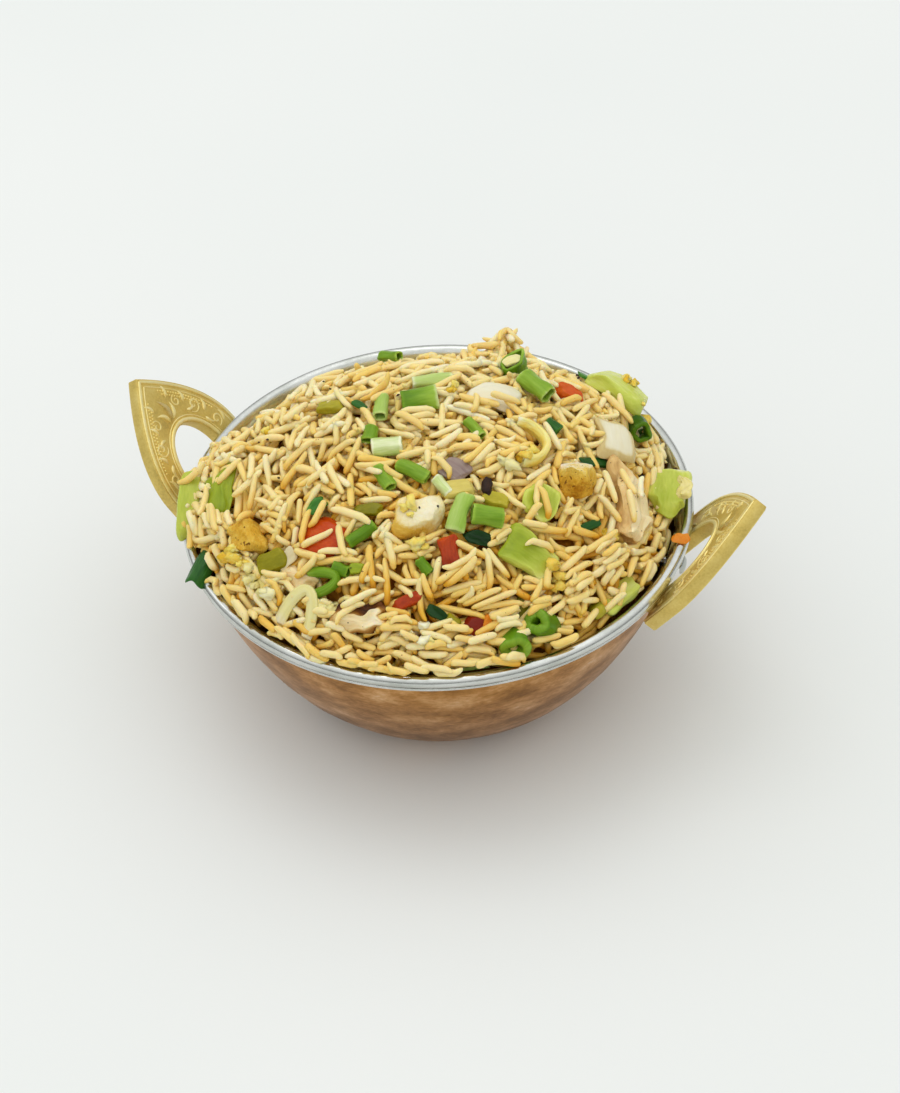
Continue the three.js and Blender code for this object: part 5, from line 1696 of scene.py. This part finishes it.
TOPPINGS = (
    # Spring onion: cut lengths of hollow green stem, and leaf
    Topping("onion_crown_light", STEM, Finish.ONION_PALE, (-5, 14, 25), (13, 4.4, 4), tint=0.72),
    Topping("onion_crown_flat", STEM, Finish.ONION_GREEN, (-5, 2, 28), (11.5, 8, 4.2),
            roll=25, lift=2, ahead=0.25),
    Topping("onion_crown_silver", STEM, Finish.ONION_PALE, (-16, -3, -75), (10, 4.6, 3.8),
            slot="onion_green"),
    Topping("onion_back_small", STEM, Finish.ONION_GREEN, (-26, 31, -19), (8.5, 4, 3.4)),
    Topping("onion_slice_crown", STEM, Finish.ONION_GREEN, (15, -4, -39), (8.5, 3.6, 3)),
    Topping("onion_striped", STEM, Finish.ONION_PALE, (-8, -20, 22), (9.5, 6, 4.6),
            tint=0.62, top=0.3),
    Topping("onion_split", STEM, Finish.ONION_GREEN, (-5, -31, -46), (9, 4.6, 3.6)),
    Topping("onion_mid", STEM, Finish.ONION_GREEN, (3, -27, -12), (10.5, 4.8, 4.2),
            bend=0.5),
    Topping("onion_pale", STEM, Finish.ONION_PALE, (13.6, -29.6, -35), (7.5, 3.8, 3.2),
            lift=0.8, tint=0.85),
    Topping("onion_ring_back", STEM, Finish.ONION_GREEN, (16.5, 31, 62), (6.4, 6.6, 10),
            pitch=80, stand=1, lift=2.1, tint=0.24, top=0.25, wall=1.1),
    Topping("onion_tube_back", STEM, Finish.ONION_GREEN, (26, 24, -20), (11.5, 7, 5.6), tint=0.6),
    Topping("onion_crumple", STEM, Finish.ONION_PALE, (21.3, -36.6, -86), (13, 5.6, 3.6),
            bend=1.2, lift=1.4),
    Topping("onion_right", STEM, Finish.ONION_GREEN, (29.2, -34.4, 14), (9.8, 6.2, 5),
            wall=0.9),
    Topping("onion_leaf_dark", SLAB, Finish.LEAF_DARK, (28.4, -40.6, 12), (8, 4.4, 0.9),
            wave=1, tint=0.15, square=3, rough=0.5),
    Topping("onion_shaded", STEM, Finish.ONION_GREEN, (-6, -49, 51), (10, 3.8, 3.2), tint=0.3),
    Topping("onion_curl", CURL, Finish.ONION_GREEN, (-14, -62, 27), (9.5, 3.2, 3.2),
            spread=6.8, lift=0.6, tint=0.4),
    Topping("onion_ring_right", STEM, Finish.ONION_GREEN, (57, 36, -70), (6, 7.6, 7),
            pitch=-14, tint=0.0, wall=1.6, slot="dark_green"),
    Topping("onion_under_petal", SLAB, Finish.LEAF_DARK, (50.8, 8.2, 40), (13, 3.8, 1),
            lift=-1.2, tint=0.4, square=3),
    Topping("onion_dark_right", SLAB, Finish.LEAF_DARK, (56.5, -17, 56), (9, 2.8, 1),
            tint=0.45, square=3),
    Topping("onion_front_upright", STEM, Finish.ONION_GREEN, (44.5, -57.5, -69), (11, 8.8, 8.6),
            pitch=-7, stand=1, lift=2.8, tint=0.34, wall=3),
    Topping("onion_front_leaning", STEM, Finish.ONION_GREEN, (51.5, -51, -108), (10, 8.6, 8.4),
            pitch=-52, stand=1, lift=2.2, tint=0.26, wall=3),
    Topping("onion_front_strip", SLAB, Finish.ONION_PALE, (31.2, -68.4, 24.5), (17, 2.2, 1.2),
            height=65, stand=1, tint=0.6),
    Topping("onion_rim_leaf", SLAB, Finish.LEAF_DARK, (-58.6, -52.8, -101), (17, 6.6, 1),
            bend=0.8, cup=2.2, wave=0.5, height=71, stand=1, pitch=15, tint=0.6),
    # Celery and green pepper: thick cut pieces
    Topping("celery_back", SLAB, Finish.CELERY, (47, 49, -12), (21, 14, 6),
            bend=1.4, taper=0.3, lift=5, stand=0.3, top=0.15, rim=0.1, square=5, rough=0.5),
    Topping("celery_left", SLAB, Finish.CELERY, (-71.5, -34, -73), (21, 8, 5.5),
            bend=0.8, height=75, stand=1, pitch=28, tint=0.55),
    Topping("celery_left_inner", SLAB, Finish.CELERY, (-60.5, -36, -80), (18, 12, 3),
            cup=0.6, lift=1.2, tint=0.28, rough=0.5, ragged=0.5),
    Topping("celery_slice", SLAB, Finish.CELERY, (42, -21.5, -77), (12.5, 11, 2.6),
            cup=-1.2, lift=1, tint=0.45, rim=0.2, square=2.6),
    Topping("celery_large", SLAB, Finish.CELERY, (43, -38.2, -16), (16.5, 13, 4),
            bend=1.2, taper=0.25, lift=1.2, tint=0.42, ahead=0.22, rim=0.15, square=5, rough=0.6),
    Topping("celery_rim", SLAB, Finish.CELERY, (71.2, 20.5, -76), (19, 12.5, 3.6),
            bend=0.8, taper=0.2, height=71.4, stand=1, ahead=-0.15, rim=0.15, square=3.4, rough=0.9,
            ragged=0.4),
    Topping("celery_front_right", SLAB, Finish.CELERY, (68.4, -27, 69), (16, 7, 4),
            height=67, stand=0.8, tint=0.68, square=5),
    Topping("celery_thin_mid", SLAB, Finish.PEPPER, (29.5, -27, 8), (8.5, 4.6, 2.4),
            tint=0.75, square=3.5),
    Topping("pepper_green_left", SLAB, Finish.PEPPER, (-33, -57, 30), (10, 7, 3.6),
            tint=0.45, square=3.5),
    Topping("pepper_green_rim", SLAB, Finish.PEPPER, (-49.5, -54.5, -40), (9, 3.6, 2.4),
            tint=0.4, square=3.5),
    Topping("pepper_green_mid", SLAB, Finish.PEPPER, (-6.5, -41.5, 14), (8.5, 4, 2),
            tint=0.4, square=3.5),
    Topping("pepper_green_back", SLAB, Finish.PEPPER, (-33, -4, 4), (8.7, 5, 2.6),
            tint=0.6, square=3.5),
    # Red pepper and tomato
    Topping("tomato_left", SLAB, Finish.TOMATO, (-19.2, -50.5, 6), (15, 13, 2.6),
            bend=1.2, cup=0.6, lift=-0.3, tint=0.42, square=3.2, rough=0.5),
    Topping("tomato_mid", SLAB, Finish.TOMATO, (22, -48, -62), (9.5, 6.4, 3.2),
            tint=0.2, ahead=-0.15, square=3.5, rough=0.6, ragged=0.5),
    Topping("tomato_front", SLAB, Finish.TOMATO, (13, -62, 44), (10, 3.6, 2.2),
            tint=0.3, square=3, rough=0.4),
    Topping("tomato_back", SLAB, Finish.TOMATO, (35, 31, 4), (9, 5, 3.4),
            roll=15, tint=0.55, square=3, rough=0.5, ragged=0.4),
    Topping("tomato_dark_front", SLAB, Finish.TOMATO, (34, -60, -12), (9, 6.5, 3),
            lift=-1.2, tint=-0.3, square=3, slot="brown"),
    # Onion petals
    Topping("petal_back", SLAB, Finish.ONION_WHITE, (16, 13, 10), (17, 11, 2.2),
            bend=1.6, cup=0.8, lift=0.8, tint=0.74, square=2.8),
    Topping("petal_right", SLAB, Finish.ONION_WHITE, (54, 20, -58), (14.5, 13, 2.2),
            bend=0.8, cup=0.6, lift=4.5, roll=12, tint=0.72, rim=-0.4, square=6),
    Topping("petal_purple", SLAB, Finish.ONION_PURPLE, (14, -21.5, -22), (9, 8, 1.4),
            bend=0.6, square=3),
    # Paneer, chicken and egg
    Topping("paneer_mid", SLAB, Finish.PANEER, (9.2, -40.2, 21), (13, 11, 8),
            lift=0.4, tint=0.54, top=0.2, rim=-0.12, ahead=0.12, square=5, rough=0.7, ragged=0.5),
    Topping("paneer_right", SLAB, Finish.PANEER_FRIED, (48.5, -7.2, -72), (9, 10.5, 10.5),
            pitch=-26, stand=1, lift=1, tint=0.52, top=0.36, ahead=-0.1, square=6, rough=0.7, ragged=0.5),
    Topping("paneer_left", SLAB, Finish.PANEER_FRIED, (-43.8, -50.3, -70), (10.5, 9, 9),
            lift=1.2, tint=0.56, rough=0.9, ragged=0.8),
    Topping("chicken_front", SLAB, Finish.CHICKEN, (1.5, -69, 20), (16, 9.5, 7),
            lift=1.4, tint=0.16, top=0.62, ahead=0.12, square=2.6, rough=1.4, ragged=0.9, soft=0.9,
            slot="brown"),
    Topping("chicken_flaky", SLAB, Finish.CHICKEN, (65, -1.5, -56), (27, 14, 8), roll=-14,
            taper=0.3, bend=1, lift=1.4, tint=0.56, top=0.25, square=3.5, rough=2.4, ragged=0.8,
            soft=0.7, slot="paneer"),
    Topping("egg_curl", CURL, Finish.EGG, (33.5, -2.5, 24), (9, 2.4, 5),
            spread=17, lift=1.6, tint=0.55, top=0.2),
    # Cabbage strips
    Topping("cabbage_loop", CURL, Finish.CABBAGE, (-19, -69.5, 72), (14.5, 4, 1.5),
            spread=10.5, lift=3.2, tint=0.68),
    Topping("cabbage_strip", SLAB, Finish.CABBAGE, (-29.5, -65, -42), (18, 4.4, 1.8),
            bend=0.8, wave=0.6, lift=1.8, tint=0.55, rough=0.4),
    Topping("carrot_bit", SLAB, Finish.CARROT, (80.4, 3.6, 21), (5.4, 4.2, 0.8),
            height=67.5, stand=1, square=2.4, ragged=0.5, rough=0.1),
)


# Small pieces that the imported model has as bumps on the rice, or not at all
BITS = (
    Topping("ring_filling", SLAB, Finish.CABBAGE, (16, 30.8, 50), (6.6, 4.2, 1.6),
            stand=1, lift=4.3, tint=0.7, square=3, ragged=0.4),
    Topping("green_stub", STEM, Finish.ONION_GREEN, (-15.2, -15.6, -84), (6, 4.6, 3.2), tint=0.45),
    Topping("leaf_back", SLAB, Finish.LEAF_DARK, (-23.6, -3.2, -31), (6.4, 2.6, 0.9),
            lift=0.8, tint=0.6, square=3),
    Topping("leaf_left", SLAB, Finish.LEAF_DARK, (-23, -42.4, 51), (6.6, 4.4, 1),
            lift=0.8, tint=0.8, square=3, wave=0.8),
    Topping("green_low_left", STEM, Finish.ONION_GREEN, (-9.4, -58.7, -10), (5.5, 4, 3), tint=0.35),
    Topping("lime_left", SLAB, Finish.CELERY, (-4.4, -58.3, 20), (4.6, 3.2, 2.4), lift=0.8, tint=0.3),
    Topping("green_front", STEM, Finish.ONION_GREEN, (15.3, -53.4, -44), (5.5, 3.4, 2.6), tint=0.3),
    Topping("dark_right", STEM, Finish.LEAF_DARK, (35.9, 10.6, -14), (5, 4.6, 3.2), tint=0.6),
    Topping("green_back_right", SLAB, Finish.LEAF_DARK, (34.6, 49.3, 20), (5.5, 3, 1.2),
            lift=1.2, tint=0.85, square=3),
    Topping("slice_front_right", SLAB, Finish.PEPPER, (64.5, -37.5, 62), (5.6, 4.8, 3),
            lift=0.8, top=0.3, rim=-0.3, square=2.4),
    Topping("olive_front", SLAB, Finish.PEPPER, (26.9, -62.8, -21), (5, 4, 2.4), lift=0.6),
    Topping("leaf_front", SLAB, Finish.LEAF_DARK, (22.5, -62.4, -20), (7, 3.4, 1),
            lift=0.2, tint=0.2, square=3, wave=0.8),
    Topping("olive_sheer", SLAB, Finish.PEPPER, (45.1, -50.4, -60), (10, 4.6, 1.6),
            lift=-0.4, tint=0.15, square=3),
    Topping("petal_left", SLAB, Finish.CHICKEN, (-23.6, -61.5, -10), (12.5, 7.5, 2.4),
            cup=0.6, bend=0.6, lift=0.6, tint=0.55, top=0.2, rough=1.4, square=3, ragged=0.8),
    Topping("petal_left_small", SLAB, Finish.ONION_WHITE, (-28.1, -56.5, 60), (7, 4.6, 1),
            lift=0.4),
    Topping("block_pale", SLAB, Finish.CABBAGE, (18, -28.5, 30), (10, 6, 4), lift=0.2, tint=0.3,
            square=4),
    Topping("charred_end", SLAB, Finish.SPICE, (25.9, -24.8, -80), (5.5, 2.8, 1.2),
            lift=1.4, tint=0.6, square=3, ragged=0.7),
    Topping("carrot_front", SLAB, Finish.CARROT, (36.4, -58.2, -75), (5, 2.2, 2), lift=0.8),
    Topping("lump_rim", SLAB, Finish.CABBAGE, (75.4, 20.5, -80), (9, 5, 3.4),
            height=72.8, stand=1, tint=0.6, rough=1.2, square=2.6, ragged=0.9),
)

# X, Y, heading and length of the grains that lie over toppings
STRAY_GRAINS = (
    (40.8, -20.9, 100, 10), (43.8, -23.2, 125, 11), (41.3, -28.0, 60, 8), (43.0, -31.0, 20, 8),
    (-71.9, -28.6, 30, 12), (-24.6, -49.1, 96, 12), (-19.3, -52.2, 34, 11), (-11.5, -52.0, 120, 13),
    (-21.5, -45.6, 75, 10), (11.5, -23.7, -24, 9), (50.5, -42.5, 100, 7), (-55.6, -54.6, 78, 9),
    (-3, -70.5, 55, 11), (-1, -66.5, 40, 12), (56.5, 45, -20, 10),
    (58, -1.2, -54, 12.3), (62.5, 3, -48, 11), (66, -5, -62, 11), (60, -8.5, -20, 11), (66, 5.5, -75, 10),
    (-68, -42, 70, 10), (-63, -40, 100, 11), (-58, -30, 60, 11), (-45.5, -46.5, 80, 9), (46, -36, 30, 10),
    (37, 26, 60, 9), (21, 9, 15, 10), (10, 16.5, 60, 8), (-20, -60.5, 40, 10),
)


# No crumb lies further out than this
CRUMB_REACH = 74.0


@dataclass(frozen=True)
class Crumbs:
    """Small crumbs of one kind that lie in clusters on top of the pile.

    A cluster is its X and Y, how many crumbs it has, how far they spread and their size.
    """

    name: str
    finish: Finish
    tint: float
    clusters: tuple[tuple[float, float, int, float, float], ...]
    flat: float = 0.7
    seed: int = 5

    def build(self, pile: GrainPile) -> None:
        """Makes the crumbs as one piece."""
        draw = np.random.default_rng(self.seed)
        form = bmesh.new()
        tint = form.verts.layers.float.new("tint")
        local = form.verts.layers.float_vector.new("local")
        for x, y, count, spread, size in self.clusters:
            for _ in range(count):
                angle, reach = draw.uniform(0, math.tau), spread * math.sqrt(draw.random())
                spot = np.array([x + reach * math.cos(angle), y + reach * math.sin(angle)])
                spot *= min(1.0, CRUMB_REACH / float(np.hypot(*spot)))
                cell = tuple(index[0] for index in pile.index(spot[:1], spot[1:]))
                radius = size / 2 * draw.uniform(0.55, 1.05)
                middle = Vector((spot[0], spot[1], pile.top[cell] + 0.4 * self.flat * radius))
                shift = Vector(draw.uniform(0, 90, 3).tolist())
                shade = self.tint + draw.uniform(-0.2, 0.2)
                stretch = Vector(draw.uniform(-0.5, 0.5, 3).tolist())
                made = bmesh.ops.create_icosphere(form, subdivisions=2, radius=1.0)["verts"]
                for vertex in made:
                    lump = 1 + 0.9 * noise.noise(1.1 * vertex.co + shift)
                    vertex[tint] = shade
                    vertex[local] = radius * vertex.co + shift
                    vertex.co *= radius * lump
                    vertex.co += 0.5 * radius * noise.noise_vector(2.3 * vertex.co / radius + shift)
                    vertex.co += stretch * vertex.co.dot(stretch)
                    vertex.co.z *= self.flat
                    vertex.co += middle
        place_piece(self.name, to_mesh(self.name, form), self.finish, "rice_heap")


CRUMBS = (
    Crumbs("egg_crumbs", Finish.EGG, 0.5, (
        (-46, -56.5, 5, 3.6, 4.6), (-42.5, -60, 3, 2.4, 3.6), (12.9, -47.9, 3, 1.6, 4.6),
        (52.2, -38.7, 4, 2.6, 4.8), (61.3, -13, 3, 2, 3.8), (-51.3, -12.9, 2, 1, 3.6),
        (49, 53, 6, 3.4, 3.2), (56, 46, 3, 1.8, 2.8), (33, -8, 5, 4, 4.4), (3, 10, 3, 3, 3),
        (7, -43, 3, 2.4, 3.4),
    )),
    Crumbs("cabbage_crumbs", Finish.CABBAGE, 0.7, (
        (-38, -63, 4, 3, 4.6), (-32, -68, 3, 2, 4.2), (-9.7, -67.4, 3, 2.4, 4),
        (30, -14, 3, 3, 4), (20, -70, 3, 4, 3.6),
    ), seed=8),
    Crumbs("spice_flecks", Finish.SPICE, 0.5, (
        (-10, -20, 14, 55, 0.8), (30, 62, 5, 2.5, 1.0),
    ), flat=0.5, seed=9),
)


def main() -> None:
    """Builds the bowl, the rice and what lies in it, and reports each piece."""
    logging.basicConfig(level=logging.INFO, format="%(name)s %(message)s")
    noise.seed_set(NOISE_SEED)
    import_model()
    Studio().build()
    bowl = BowlForm()
    Bowl(bowl).build()
    for side in ("right", "left"):
        Handle(bowl).build(side)
        Rivet(bowl).build(side)
    heap = HeapForm(bowl)
    RiceCore(heap).build()
    pile = GrainPile(heap)
    for order in (PACKED, ALONG_WALL, ON_BRIM):
        pile.fill(order)
    for topping in TOPPINGS + BITS:
        form = topping.build(heap, "rice_heap" if topping in BITS else topping.name)
        pile.cover(form)
        form.free()
    for order in (LOOSE, BROKEN):
        pile.fill(order)
    for grain in STRAY_GRAINS:
        pile.lay(*grain)
    for crumbs in CRUMBS:
        crumbs.build(pile)
    pile.build()


if __name__ == "__main__":
    main()
